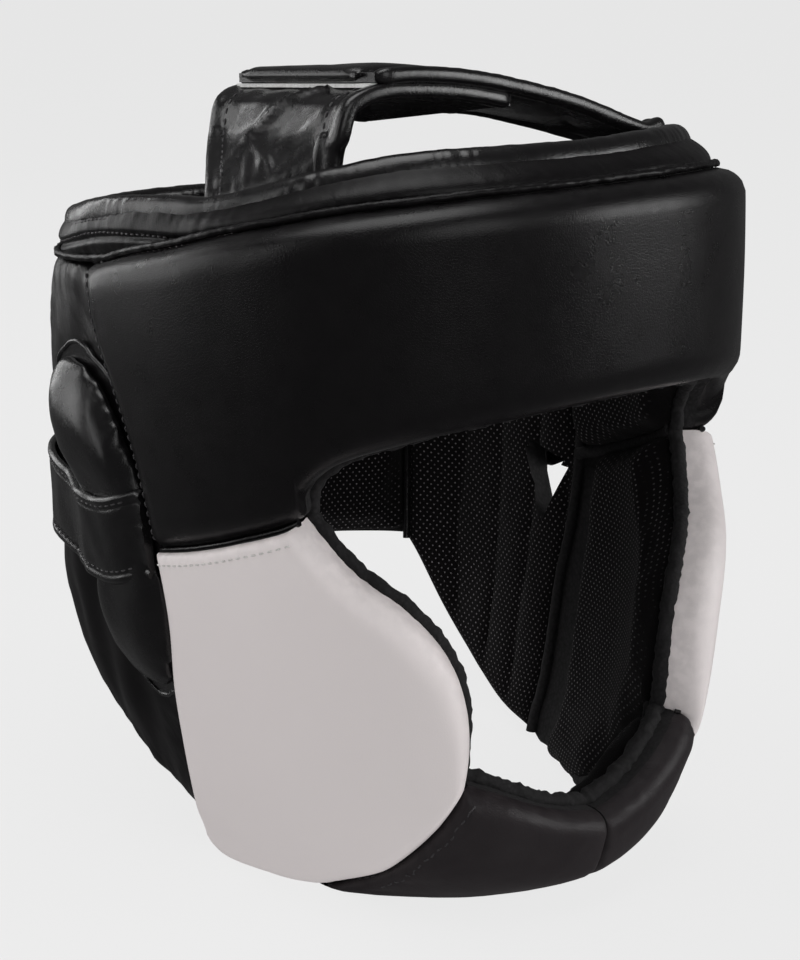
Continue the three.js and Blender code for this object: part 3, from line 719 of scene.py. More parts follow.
BLACK = ((0.0034, 0.0030, 0.0034), (0.0046, 0.0041, 0.0045))
band_leather = leather("band_leather", "band_leather", *BLACK, 0.3, 0.2, 0.05, 0.24)
collar_leather = leather("collar_leather", "soft_leather", *BLACK, 0.33, 0.2, 0.5, 0.15)
soft_leather = leather(
    "soft_leather", "soft_leather", (0.0034, 0.0031, 0.0035), (0.005, 0.0045, 0.005),
    0.25, 0.18, 0.38, 0.38, coat=0.12,
)
# Dark chin leather, made paler than its own tone to stand in for light the floor reflects up onto
# it: partly its own colour, partly painted reflection.
chin_leather_painted_light = leather(
    "chin_leather_painted_light", "soft_leather", (0.0200, 0.0168, 0.0182), (0.0240, 0.0204, 0.0218),
    0.4, 0.2, 0.3, 0.14,
)
cheek_leather = leather(
    "cheek_leather", "cheek_leather", (0.732, 0.676, 0.674), (0.748, 0.694, 0.69),
    0.46, 0.1, 0.05, 0.35, mottle=9,
)
lining_cloth = mesh_cloth("lining_mesh", "lining_mesh")
edge_cloth = plain_cloth(
    "lining_edge", "lining_mesh", (0.0012, 0.001, 0.0012), (0.012, 0.011, 0.012), 700, 0.9,
)
tape_cloth = plain_cloth("tape", "tape", (0.78, 0.78, 0.76), (0.93, 0.93, 0.92))
# Black thread whose pale weave centres are raised to stand in for small glints on the stitches: its
# dark weave plus painted highlights.
black_thread_painted_glints = plain_cloth(
    "black_thread_painted_glints", None, (0.008, 0.008, 0.008), (0.06, 0.055, 0.06), 2500, 0.5,
)
pale_thread = plain_cloth(
    "pale_thread", None, (0.45, 0.43, 0.42), (0.72, 0.7, 0.68), 2500, 0.6,
)


# Front pads

LINING_START = COVER + LAYER_GAP
LINING_END = LINING_START + LINING
SIDES = (("right", -1), ("left", 1))
SEAM_SHARE = 3 / (len(BROW_EDGE) - 1)
CHIN_SHARE = 3 / (len(CHEEK_FOOT) - 1)
cheek_top, chin_seam = edge(BROW_EDGE, 0, SEAM_SHARE), edge(CHEEK_FOOT, CHIN_SHARE, 1)
cheek_rear, cheek_front = edge(CHEEK_REAR), edge(CHEEK_FRONT)
shell_rear, panel_back = edge(SHELL_REAR), edge(PANEL_BACK)
covers, linings, pads = {}, {}, {}


def pleated(pad, depth, *seams):
    """A depth with small pleats across seams: side, wave, reach, height and seed of each."""
    for side, wave, reach, height, seed in seams:
        away = getattr(pad, side)
        other = pad.start if side in ("foot", "top") else pad.foot
        bend = noise_at(other / 23, away / 17, 7.1 + seed) * 0.7
        lines = noise_at(other / wave + bend, away / (wave * 7), seed)
        depth = depth + lines * height * np.exp(-away / reach)
    return depth


band = Pad(field(
    both_sides(edge(BROW_EDGE)), both_sides(crown_edge(BAND_TOP)), mirrored(shell_rear), shell_rear,
), step=2.2)
depth = band.fall(foot=(11, 9), top=(8, 8.5), start=(10, 8.5), end=(10, 8.5))
depth = depth + undulation(band.base, 60, 0.3)
for side in ("start", "end"):
    depth = pleated(band, depth, (side, 3.4, 7, 0.35, 8))
    depth = depth + 0.5 * bell(getattr(band, side), 7.5, 0.8)
covers["band"] = shell(
    "band_cover", band, depth, COVER, band_leather, "forehead_band", back=edge_cloth,
)
inner = LINING_END - 8.5 * band.roll(8) + undulation(band.base, 30, 0.8)
linings["band"] = shell(
    "band_lining", band, LINING_START, inner, lining_cloth, "forehead_lining",
)

for name, sign in SIDES:
    key = f"cheek_{name}"
    shape = field(edge(CHEEK_FOOT), cheek_top, cheek_rear, cheek_front, sign)
    pads[key] = pad = Pad(shape)
    depth = pad.fall(foot=(10, 9), top=(4, 2.6), start=(9, 9), end=(11, 9.5))
    depth = depth + undulation(pad.base, 70, 0.5)
    depth = pleated(pad, depth, ("top", 3.2, 5, 0.14, 3), ("foot", 7, 8, 0.2, 5))
    covers[key] = shell(
        f"cheek_cover_{name}", pad, depth, COVER, cheek_leather, key, True, edge_cloth,
    )
    pad = Pad(shape, (0.2, 1.0), step=2.4)
    inner = LINING_END - pad.fall(foot=(8, 8), top=(4, 5), start=(9, 9), end=(10, 8.5))
    inner = inner + undulation(pad.base, 26, 1.0)
    linings[key] = shell(
        f"cheek_lining_pad_{name}", pad, LINING_START, inner, lining_cloth,
        f"cheek_lining_{name}", True,
    )

chin_shape = field(
    both_sides(edge(CHIN_FOOT)), both_sides(edge(CHIN_TOP)), mirrored(chin_seam), chin_seam,
)
for (name, sign), columns in zip(SIDES, ((0.0, 0.5), (0.5, 1.0))):
    key = f"chin_{name}"
    pads[key] = pad = Pad(chin_shape, columns, step=1.8)
    seam, middle = ("start", "end") if sign < 0 else ("end", "start")
    depth = pad.fall(foot=(13, 9), top=(10, 9), **{seam: (8, 5.5), middle: (2.6, 2.2)})
    depth = pleated(
        pad, depth, (seam, 6, 14, 0.8, 1), (middle, 5, 10, 0.5, 2),
        ("top", 4.5, 8, 0.5, 4), ("foot", 6, 12, 0.6, 6),
    )
    depth = depth + undulation(pad.base, 30, 0.6)
    covers[key] = shell(
        f"chin_cover_{name}", pad, depth, COVER, chin_leather_painted_light, f"chin_bar_{name}", True, edge_cloth,
    )
pad = Pad(chin_shape, step=2.4)
inner = LINING_END - pad.fall(foot=(8, 8.5), top=(9, 8.5), start=(5, 6), end=(5, 6))
inner = inner + undulation(pad.base, 22, 1.0)
linings["chin"] = shell(
    "chin_lining_pad", pad, LINING_START, inner, lining_cloth, "chin_lining", True,
)


# Side and back panels

INNER_START = PANEL_DEPTH + LAYER_GAP
REAR_JOINT = (SHELL_REAR[0][1] - CHEEK_REAR[0][1]) / (SHELL_REAR[-1][1] - CHEEK_REAR[0][1])
EAR_CORNERS = np.array([(back * BACK_REACH, height * SHELL) for back, height in EAR_HOLE])
CUT_SPAN = (0.02, 0.2)  # metres from the middle, through the panel
CUT_ROUND = 0.003
COVER_CUT, LINING_CUT = 1.25, 1.08  # times the opening of the solids


def channels(pad, pitch, height):
    """Upright puffy channels of a quilted lining, with its seams between them."""
    seam = np.abs(np.sin(math.pi * pad.uv[..., 0] / pitch + 0.35 * noise(pad.base / 40)))
    ends = np.clip(np.minimum(pad.foot, pad.top) / 12, 0, 1)
    return height * (seam ** 0.45 - 0.72) * ends


def evaluated(piece):
    """The piece with its modifiers' results."""
    return piece.evaluated_get(bpy.context.evaluated_depsgraph_get())


def apply(piece):
    """Takes the modifiers' results into the piece's own mesh, without the operators."""
    fresh = bpy.data.meshes.new_from_object(evaluated(piece))
    piece.modifiers.clear()
    piece.data = fresh


def ear_cut(piece, sign, wide):
    """Cuts the ear opening through a panel, with dark cloth on its walls."""
    centre = EAR_CORNERS.mean(0)
    corners = (centre + (EAR_CORNERS - centre) * wide) * MM
    made = bmesh.new()
    near, far = ([made.verts.new((x * sign, y, z)) for y, z in corners] for x in CUT_SPAN)
    made.faces.new(near)
    made.faces.new(far[::-1])
    for i in range(3):
        k = (i + 1) % 3
        made.faces.new((near[i], far[i], far[k], near[k]))
    bmesh.ops.recalc_face_normals(made, faces=made.faces)
    bmesh.ops.bevel(
        made, geom=[e for e in made.edges if abs(e.verts[0].co.x - e.verts[1].co.x) > 0.1],
        offset=CUT_ROUND, segments=4, affect="EDGES",
    )
    for face in made.faces:
        face.material_index = 1
    mesh = bpy.data.meshes.new("cutter")
    made.to_mesh(mesh)
    made.free()
    for _ in range(2):
        mesh.materials.append(edge_cloth)
    if len(piece.data.materials) < 2:
        piece.data.materials.append(edge_cloth)
    cutter = linked("cutter", mesh)
    cut = piece.modifiers.new("ear", "BOOLEAN")
    cut.object = cutter
    cut.solver = "EXACT"
    apply(piece)
    bpy.data.objects.remove(cutter)


for name, sign in SIDES:
    key = f"side_{name}"
    pads[key] = pad = Pad(field(
        edge(PANEL_FOOT), crown_edge([109.5, 125, 140]), joined(cheek_rear, shell_rear, REAR_JOINT),
        panel_back, sign, panel_face,
    ), step=1.9)
    depth = pad.fall(foot=(6, 3.4), top=(6, 3.4), start=(5, 3.2), end=(5, 3.0))
    depth = pleated(
        pad, depth, ("start", 5, 14, 1.0, 11), ("end", 5, 12, 0.9, 12),
        ("foot", 6, 14, 0.9, 13), ("top", 5, 12, 0.9, 14),
    )
    depth = depth + undulation(pad.base * np.array([1, 1, 0.45]), 15, 1.9)
    fold = pad.base[..., 2] - 190 - 0.35 * pad.base[..., 1]
    depth = depth + 3.2 * bell(fold, 0, 3.0) - 2.4 * bell(fold, 7, 3.4)
    covers[key] = shell(
        f"side_cover_{name}", pad, depth, PANEL_DEPTH, collar_leather, f"side_panel_{name}",
        back=edge_cloth,
    )
    ear_cut(covers[key], sign, COVER_CUT)
    fall = pad.fall(foot=(4, 3.6), top=(4, 3.6), start=(4, 3), end=(4, 3))
    inner = INNER_START + SIDE_LINING - fall + channels(pad, 21, 3.2)
    linings[key] = shell(
        f"side_lining_pad_{name}", pad, INNER_START, inner + undulation(pad.base, 24, 0.8),
        lining_cloth, f"side_lining_{name}",
    )
    ear_cut(linings[key], sign, LINING_CUT)


def far_corner(t):
    """The back panel's edge on the left, as turns on from its edge on the right."""
    return mirrored(panel_back)(t) + np.array([360.0, 0.0])


pads["back"] = pad = Pad(field(
    edge(BACK_FOOT), crown_edge([140, 180, 220]), panel_back, far_corner, face=panel_face,
), step=1.9)
depth = pad.fall(foot=(6, 3.4), top=(6, 3.4), start=(5, 3), end=(5, 3))
depth = depth + undulation(pad.base, 38, 1.5)
depth = pleated(pad, depth, *(
    (side, 5, 12, 0.9, 21 + k) for k, side in enumerate(("start", "end", "foot", "top"))
))
covers["back"] = shell(
    "back_cover", pad, depth, PANEL_DEPTH, collar_leather, "back_panel", back=edge_cloth,
)
fall = pad.fall(foot=(8, 8), top=(8, 8), start=(7, 7), end=(7, 7))
inner = INNER_START + BACK_LINING - fall + channels(pad, 30, 3.0)
linings["back"] = shell(
    "back_lining_pad", pad, INNER_START, inner + undulation(pad.base, 26, 1.2), lining_cloth,
    "back_lining",
)


# Filling of the soft pads

FILL_PRESSURE = 4
FILL_FRAMES = 20
FILL_VOXEL = 4.2


def read_points(mesh, key="co"):
    """The points or normals of a mesh."""
    values = np.zeros(len(mesh.vertices) * 3)
    mesh.vertices.foreach_get(key, values)
    return values.reshape(-1, 3)


def filled(piece, cap, shrink, towards):
    """Swells a pad by a short cloth simulation, on the side that faces out (1) or in (-1)."""
    material = piece.data.materials[0]
    even = piece.modifiers.new("even", "REMESH")
    even.mode = "VOXEL"
    even.voxel_size = FILL_VOXEL * MM
    apply(piece)
    mesh = piece.data
    points, normal = read_points(mesh), read_points(mesh, "normal")
    out = points * np.array([1.0, 1.0, 0.0])
    out /= np.linalg.norm(out, axis=1, keepdims=True)
    share = np.clip(np.sum(normal * out, 1) * towards + 0.3, 0, 1)[:, None]
    points = points - normal * shrink * MM * share
    mesh.vertices.foreach_set("co", points.ravel())
    cloth = piece.modifiers.new("cloth", "CLOTH")
    cloth.settings.use_pressure = True
    cloth.settings.uniform_pressure_force = FILL_PRESSURE
    cloth.settings.effector_weights.gravity = 0
    cloth.settings.quality = 5
    cloth.point_cache.frame_start, cloth.point_cache.frame_end = 1, FILL_FRAMES
    for step in range(1, FILL_FRAMES + 1):
        bpy.context.scene.frame_set(step)
    moved = read_points(evaluated(piece).data)
    bpy.context.scene.frame_set(1)
    piece.modifiers.clear()
    move = moved - points
    length = np.linalg.norm(move, axis=1, keepdims=True)
    points = points + move * np.minimum(1, cap * MM / np.maximum(length, 1e-9)) * share
    points[:, 2] = np.maximum(points[:, 2], TABLE_GAP * MM)
    mesh.vertices.foreach_set("co", points.ravel())
    smoother = piece.modifiers.new("smoother", "SUBSURF")
    smoother.levels = smoother.render_levels = 1
    apply(piece)
    mesh = piece.data
    if not len(mesh.materials):
        mesh.materials.append(material)
    points = read_points(mesh)
    radial = points[:, :2] / np.linalg.norm(points[:, :2], axis=1, keepdims=True)
    facing = np.abs(np.sum(read_points(mesh, "normal")[:, :2] * radial, 1))
    worn = 0.15 if towards > 0 else 1 - np.clip((facing - 0.5) / 0.3, 0, 1)
    write_cloth(mesh, unrolled(points / MM), wear=worn, pull=0.45)
    mesh.shade_smooth()


for name, sign in SIDES:
    filled(linings[f"cheek_{name}"], 3.0, 1.0, -1)
filled(linings["chin"], 3.0, 1.0, -1)
filled(linings["band"], 3.0, 1.2, -1)
filled(linings["back"], 3.0, 1.0, -1)


# Rings and cords

def ring_faces(count, sides, start=0, loop=False):
    """Faces through rings of points, with a cap at each end of an open row."""
    index = start + np.arange(count * sides).reshape(count, sides)
    near, far = (index, np.roll(index, -1, 0)) if loop else (index[:-1], index[1:])
    quads = np.stack([near, far, np.roll(far, -1, 1), np.roll(near, -1, 1)], -1)
    caps = [] if loop else [index[0].tolist(), index[-1, ::-1].tolist()]
    return quads.reshape(-1, 4).tolist() + caps


def loft(name, rings, node=None, material=soft_leather, loop=False, wear=0.3, pull=0.4, sharp=60):
    """A closed piece through rings of points, shape (rings, points, 3)."""
    rings = np.asarray(rings, float)
    count, sides = rings.shape[:2]
    around = run_along(rings[count // 2])
    around = np.minimum(around, around[-1] - around)
    uv = np.stack(np.broadcast_arrays(run_along(rings.mean(1))[:, None], around), -1)
    return make_object(
        name, rings.reshape(-1, 3), ring_faces(count, sides, loop=loop), material,
        uv=uv.reshape(-1, 2), wear=wear, pull=pull, replaces=[node] if node else (), sharp=sharp,
    )


def tube(name, path, radius, material=soft_leather, wobble=0.12, wave=3.0):
    """A cord along a path, with a slightly uneven face."""
    path = np.asarray(path, float)
    run = run_along(path)
    at = np.linspace(0, run[-1], max(8, int(run[-1] / 1.2)))
    line = np.stack([np.interp(at, run, path[:, k]) for k in range(3)], -1)
    ahead = np.gradient(line, axis=0)
    ahead /= np.maximum(np.linalg.norm(ahead, axis=-1, keepdims=True), 1e-9)
    out = line * np.array([1.0, 1.0, 0.0])
    out -= ahead * np.sum(out * ahead, -1, keepdims=True)
    out /= np.maximum(np.linalg.norm(out, axis=-1, keepdims=True), 1e-9)
    across = np.cross(ahead, out)
    cosine, sine = np.cos(angles(10)), np.sin(angles(10))
    rough = 1 + wobble * noise_at((at / wave)[:, None], cosine, sine + path[0, 0])[..., None]
    rings = line[:, None] + rough * radius * (
        out[:, None] * cosine[:, None] + across[:, None] * sine[:, None]
    )
    return loft(name, rings, material=material, wear=0.5, sharp=80)


EDGE_FLOOR = 2.7


def edge_path(curve, depth, sign=1, face=None):
    """Points along an edge, at a depth below the outline or below a face."""
    place = curve(np.linspace(0, 1, 160))
    if face is not None:
        depth = depth + face(place[:, 0], place[:, 1])
    return skin(place[:, 0], np.maximum(place[:, 1], EDGE_FLOOR), depth) * np.array([sign, 1, 1])


# Cords in the seams, and the lining's bound edges round the openings
SEAMS = (  # name, curve, depth, face, radius, material
    ("band_rear", shell_rear, 9.5, None, 1.3, soft_leather),
    ("band_rear_inner", shell_rear, 15.5, None, 2.2, edge_cloth),
    ("band_cheek", cheek_top, 6.0, None, 1.1, soft_leather),
    ("band_cheek_inner", cheek_top, 17.0, None, 2.4, edge_cloth),
    ("cheek_rear", cheek_rear, 12.0, None, 1.5, soft_leather),
    ("cheek_rear_inner", cheek_rear, 16.0, None, 2.0, edge_cloth),
    ("cheek_chin", chin_seam, 8.0, None, 1.2, soft_leather),
    ("cheek_chin_inner", chin_seam, 18.0, None, 2.2, edge_cloth),
    ("back_corner", panel_back, 2.8, panel_face, 1.2, soft_leather),
    ("back_corner_inner", panel_back, 10.5, panel_face, 1.4, soft_leather),
)
BOUND_DEPTH = COVER + 0.5
for name, sign in SIDES:
    for part, curve, depth, face, radius, cloth in SEAMS:
        tube(f"seam_{part}_{name}", edge_path(curve, depth, sign, face), radius, cloth)
    bound = edge_path(cheek_front, BOUND_DEPTH, sign)
    tube(f"cheek_bound_edge_{name}", bound, 2.7, edge_cloth, 0.3)
brow = both_sides(edge(BROW_EDGE, SEAM_SHARE, 1))
tube("brow_bound_edge", edge_path(brow, BOUND_DEPTH), 2.3, edge_cloth, 0.3)
chin = both_sides(edge(CHIN_TOP))
tube("chin_bound_edge", edge_path(chin, BOUND_DEPTH), 2.9, edge_cloth, 0.35, 2.6)
tube("chin_middle_seam", skin(0, np.linspace(2, CHIN_TOP[-1][1] * SHELL - 6, 40), 2.9), 0.8)


# Ear pads

FLANGE = 3.6  # how far a pad's sewn flange stands out
FRONT_FLANGE = 0.2  # share of it at the left pad's front
LEFT_SLIP, RIGHT_LEAD = 3, 6.0


def ear_point(rise, side, sign, depth, spread=0.0):
    """A point of an ear pad: side from -1 at its front edge to 1 at its rear edge."""
    slip, lead = (EAR_SLIP + LEFT_SLIP, 0.0) if sign > 0 else (0.0, RIGHT_LEAD)
    turn, width = (row_value(EAR_ROWS, np.clip(rise, 0, 1), k) for k in (1, 2))
    z = EAR_FOOT * SHELL + rise * EAR_HEIGHT
    middle = skin(turn, z, 0)
    per_mm = 1 / (np.hypot(middle[..., 0], middle[..., 1]) * math.radians(1))
    half = np.where(side < 0, width * (EAR_WIDTH / 2 + lead), width * EAR_WIDTH / 2)
    at = turn + slip + side * (half + np.abs(spread)) * per_mm
    return skin(at, z, panel_face(at, z) + SEAT - depth) * np.array([sign, 1, 1])


for name, sign in SIDES:
    rings = []
    angle = angles(48)
    side = eased(np.cos(angle), 0.7)
    lift = np.where(np.sin(angle) > 0, np.abs(np.sin(angle)) ** 0.7, 0)
    for rise in np.r_[0, 0.012, 0.03, np.linspace(0.05, 0.95, 70), 0.97, 0.988, 1]:
        swell = EAR_DEPTH * row_value(EAR_ROWS, rise, 3)
        u, v, w = side * 4, rise * EAR_HEIGHT / 26, 2.0 + sign
        folds = noise_at(u, v * 0.6, w) * 1.3 * bell(rise, 0.48, 0.16)
        folds = folds + noise_at(u * 0.6, v * 4.0, w) * 0.5
        front = bell(side, -0.9, 0.35) * noise_at(u * 0.5, v * 9.0, w) * 0.8
        rings.append(ear_point(rise, side, sign, lift * (swell + folds + front)))
    covers[f"ear_{name}"] = loft(
        f"ear_cover_{name}", rings, f"ear_pad_{name}", pull=0.5, sharp=70,
    )
    filled(covers[f"ear_{name}"], 1.8, 0.9, 1)
    rises = np.r_[-0.03, -0.02, 0, np.linspace(0.02, 0.98, 50), 1, 1.02, 1.03][:, None]
    sides = np.linspace(-1, 1, 15)
    closing = np.sqrt(np.clip(1 - ((np.abs(rises - 0.5) - 0.47).clip(0) / 0.0605) ** 2, 0, 1))
    spread = FLANGE * np.where((sign > 0) & (sides < 0), FRONT_FLANGE, 1.0)
    outer, inner = (ear_point(rises, sides * closing, sign, d, spread) for d in (0.35, -0.75))
    slab(f"ear_flange_{name}", outer, inner, soft_leather, pull=0.8)
    rim_line = np.concatenate([outer[:, -1], outer[::-1, 0], outer[:1, -1]])
    tube(f"ear_welt_{name}", rim_line, 0.85, wobble=0.2, wave=2.5)


# Rear straps

LEFT_RISE = 10.0  # how far the left strap rides up over its slipped ear pad


def strap_height(turns, sign):
    """Height of a strap's middle."""
    away = (np.asarray(turns, float) - 92).clip(0)
    rise = LEFT_RISE * bell(away, 0, 16) if sign > 0 else 0.0
    return row_value(STRAP_ROWS, turns) * SHELL + rise


def strap_lift(turns, sign):
    """How far a strap rises over its ear pad."""
    slip = EAR_SLIP if sign > 0 else 0
    return row_value(STRAP_ROWS, turns - slip, 2) * EAR_DEPTH


for name, sign in SIDES:
    turns = np.arange(91.6, STRAP_END + 0.1, 0.8)
    over = STRAP_THICKNESS + 2 * LAYER_GAP if sign > 0 else 0.0
    laps = smooth([0, LAP_TURN - 4, LAP_TURN + 4, 360], [0, 0, 1, 1], turns) * over
    across = np.linspace(-0.5, 0.5, 33)
    rise = across * STRAP_WIDTH
    edge_away = STRAP_WIDTH / 2 - np.abs(rise)
    round_off = quarter(np.clip((np.abs(across) - 0.45) / 0.05, 0, 1)) * STRAP_THICKNESS * 0.5
    lip = 0.45 * bell(edge_away, 1.6, 1.3) - 0.75 * bell(edge_away, 4.0, 0.8)
    rings = []
    for turn, z, lift, lap in zip(turns, strap_height(turns, sign), strap_lift(turns, sign), laps):
        puckers = noise_at(turn / 9, rise / 2.4, 6.0) * 0.7 * math.exp(-max(0.0, turn - 92) / 3.5)
        ripple = noise_at(turn / 4, rise / 16, 3.0 + sign) * 0.35 + puckers
        seat = panel_face(turn, z + rise) + SEAT - lift - lap
        outer = skin(turn, z + rise, seat - STRAP_THICKNESS + round_off - ripple - lip)
        inner = skin(turn, z + rise[::-1], (seat - round_off * 0.5)[::-1])
        rings.append(np.concatenate([outer, inner]) * np.array([sign, 1, 1]))
    covers[f"strap_{name}"] = loft(f"strap_{name}", rings, f"rear_strap_{name}", sharp=70)


# Collar and its bound rim

GROOVE_DROP = 9.5  # the stitched groove below the rim
RIM_DROP, RIM_HALF_HEIGHT, RIM_HALF_DEPTH = 1.9, 5.2, 3.4


def collar_foot(turn):
    """Depth of the collar's foot, which comes out with the panels at the rear."""
    out = np.clip((folded(turn) - 104) / 16, 0, 1)
    return COLLAR_SINK + (panel_face(turn, SHELL) + 2.0 - COLLAR_SINK) * out * out * (3 - 2 * out)


turns = np.arange(0, 360, 0.5)
low = line_height(CROWN_LINE, turns) + 0.8
rim = line_height(RIM_LINE, turns)
levels = np.linspace(0, 1, 24)
rings = []
for turn, a, b in zip(turns, low, rim - 0.5):
    rise = levels * (b - a)
    foot = collar_foot(turn)
    face = foot + (rim_depth(turn) - foot) * levels
    pull = np.exp(-np.minimum(levels, 1 - levels) * (b - a) / 7)
    wrinkle = round_noise(turn, rise, 3.2, 16) * 0.28 * pull
    wrinkle = wrinkle + round_noise(turn, rise, 26, 11, 4.0) * 0.7 * np.sin(math.pi * levels) ** 0.5
    wrinkle = wrinkle - 1.6 * bell(b - a - rise, GROOVE_DROP, 1.3)
    puff = COLLAR_PUFF * 2.2 * np.sin(math.pi * levels) + wrinkle * np.minimum(1, 6 * levels)
    outer = skin(turn, a + rise, face - puff)
    inner = skin(turn, (a + rise)[::-1], face[::-1] + COLLAR_THICKNESS)
    rings.append(np.concatenate([outer, inner]))
covers["collar"] = loft(
    "collar_cover", rings, "crown_collar", collar_leather, loop=True, pull=0.3,
)
welt = skin(turns, low + 0.3, collar_foot(turns) - 1.2 + 0.5 * round_noise(turns, 0, 4, 1, 2.0))
tube("collar_welt", np.concatenate([welt, welt[:1]]), 1.25, collar_leather, 0.3, 2.2)

sine, cosine = np.sin(angles(32)), np.cos(angles(32))
rings = []
for turn, z in zip(turns, rim):
    pleats = np.clip(round_noise(turn, 0, 34, 1, 5.0) * 2.2 + 0.1, 0.06, 1)
    wrinkle = round_noise(turn, sine * 1.5, 1.9, 4) * 0.38 * pleats
    wrinkle = wrinkle + round_noise(turn, sine * 4, 16, 9, 3.0) * 0.2
    height = eased(sine, 0.85) * (RIM_HALF_HEIGHT + 0.2 * round_noise(turn, 0, 5, 1, 8.0))
    depth = rim_depth(turn) + COLLAR_THICKNESS / 2 + eased(cosine, 0.75) * RIM_HALF_DEPTH
    depth = depth - wrinkle * (np.abs(cosine) > 0.05) * np.sign(-cosine)
    rings.append(skin(turn, z - RIM_DROP + height, depth))
covers["rim"] = loft("rim_binding", rings, "rim_piping", loop=True, pull=0.2)


# Crown wings

WING_SEAT = COLLAR_THICKNESS / 2 + PIPING + LAYER_GAP
LAP_LIFT = WING_THICKNESS + TAPE + 2 * LAYER_GAP
WING_STEP = 1.8
RIDGES = (  # across and along of both ends, and height
    (66, 22, 12, 64, 2.2), (40, 22, 10, 40, 1.7), (60, 52, 30, 84, 0.8), (30, 12, 52, 34, 0.6),
)


def crown_row(row, share, drop):
    """A row across a wing over the crown."""
    rise = (row[1] + (row[2] - row[1]) * share) * CROWN_RISE
    return np.stack(np.broadcast_arrays(
        row[0] * HALF_WIDTH, WING_MIDDLE + (share - 0.5) * WING_WIDTH, SHELL + rise - drop,
    ), -1)


def rim_row(sign, share, above):
    """A row across a wing, inside the rim."""
    turn = WING_TURNS[0] + (WING_TURNS[1] - WING_TURNS[0]) * share
    depth = rim_depth(turn) + WING_SEAT
    return skin(turn, line_height(RIM_LINE, turn) + above, depth) * np.array([sign, 1, 1])


def wing_surface(sign, share):
    """Rows of a wing's upper face, smoothed between the CAD's rows."""
    rows = [rim_row(sign, share, -WING_TUCK), rim_row(sign, share, PIPING + BINDING)]
    if sign > 0:
        rows += [crown_row(row, share, 0) for row in LAP[::-1]]
    else:
        rows += [crown_row(row, share, 0) for row in RIGHT_RISE]
        rows += [crown_row(row, share, LAP_LIFT) for row in LAP[:4]]
    rows = np.array(rows)
    if sign < 0:
        rows[1:4, :, 1] -= np.array([2.0, 6.0, 4.0])[:, None] * share ** 3
    gap = np.linalg.norm(np.diff(rows, axis=0), axis=-1).mean(1)
    place = np.r_[0, np.cumsum(np.maximum(gap, 6))]
    x = np.linspace(0, place[-1], int(place[-1] / WING_STEP))
    return np.stack([
        np.stack([smooth(place, rows[:, j, k], x) for j in range(rows.shape[1])], -1)
        for k in range(3)
    ], -1)


def normals_of(grid):
    """Unit normals of a wing's face, upwards at its end."""
    normal = np.cross(np.gradient(grid, axis=0), np.gradient(grid, axis=1))
    normal = normal / np.maximum(np.linalg.norm(normal, axis=-1, keepdims=True), 1e-9)
    return -normal if normal[-3, 25, 2] < 0 else normal


def ridge(across, along, start_across, start_along, end_across, end_along, tall):
    """A slightly bowed fold over a wing."""
    run = np.array([end_across - start_across, end_along - start_along], float)
    where = np.stack([across - start_across, along - start_along], -1)
    part = where @ run / (run @ run)
    held = np.clip(part, 0, 1)
    beside = (where @ np.array([-run[1], run[0]])) / np.linalg.norm(run)
    away = np.hypot(np.abs(beside - 3 * np.sin(math.pi * held)), 40 * (part - held))
    fade = np.sin(math.pi * np.clip(held, 0.08, 0.92)) ** 0.5
    return tall * np.exp(-(away / 1.9) ** 1.5) * fade


wings = {}
for name, sign in SIDES:
    share = np.linspace(0, 1, 52)
    grid = wing_surface(sign, share)
    normal = normals_of(grid)
    wings[name] = (grid, normal)
    s = np.arange(grid.shape[0])[:, None] * WING_STEP + np.zeros(grid.shape[1])
    t = np.zeros(grid.shape[0])[:, None] + share * WING_WIDTH
    u, v, w = (s + t) / 14, (s - t) / 60, 5.0 + sign
    creases = noise_at(u, v, w) * 0.5 + noise_at(u * 2.3 + 3, v * 2 + 3, w + 3) * 0.15
    for row in RIDGES:
        creases = creases + ridge(t, s, *row)
    base = np.exp(-s / 26) * noise_at(t / 4.5, s / 60, 9.0) * 0.4
    fade = np.clip(np.minimum(share, 1 - share) / 0.12, 0, 1)
    lift = (creases * (0.35 + 0.65 * bell(s, 45, 40)) + base) * fade
    if sign < 0:
        lift = lift * np.clip((62 - s) / 9, 0, 1)
    upper = grid + normal * lift[..., None]
    lower = grid - normal * WING_THICKNESS + normal * lift[..., None] * 0.6
    covers[f"wing_{name}"] = slab(
        f"wing_cover_{name}", upper, lower, soft_leather, np.stack([s, t], -1), 0.2, 0.4,
        replaces=[f"top_wing_{name}"],
    )

BINDING_HALF = 4.9
BINDING_START = 3  # the wing's rows below it are inside the rim


def binding(name, grid, normal, column, out, node):
    """A folded binding that wraps a wing's edge, wide on its face."""
    line, face = grid[BINDING_START:, column], normal[BINDING_START:, column]
    run = np.gradient(line, axis=0)
    run /= np.linalg.norm(run, axis=-1, keepdims=True)
    side = np.cross(run, face)
    side *= np.sign(side[:, 1:2] * out)
    cosine, sine = np.cos(angles(28)), np.sin(angles(28))
    rings = []
    for k in range(len(line)):
        wrinkle = 1 + 0.10 * noise_at(k / 2.2, 1.0 + column, 2.0)
        closing = math.sqrt(1 - max(0.0, 1 - (len(line) - 1 - k) / 2.5) ** 2 * 0.9)
        wide = eased(cosine, 0.7) * BINDING_HALF * closing
        plump = 1.0 + 0.45 * cosine - 0.28 * bell(wide, -1.6, 0.8)
        thick = eased(sine, 0.8) * (WING_THICKNESS / 2 + 0.9) * wrinkle * plump * closing
        centre = line[k] - face[k] * WING_THICKNESS / 2 - side[k] * (BINDING_HALF - BINDING - 0.8)
        rings.append(centre + np.outer(wide, side[k]) + np.outer(thick, face[k]))
    return loft(name, rings, node)


for name, sign in SIDES:
    for end, column, out in (("front", 0, -1), ("rear", -1, 1)):
        covers[f"binding_{end}_{name}"] = binding(
            f"wing_edge_{end}_{name}", *wings[name], column, out, f"wing_binding_{end}_{name}",
        )

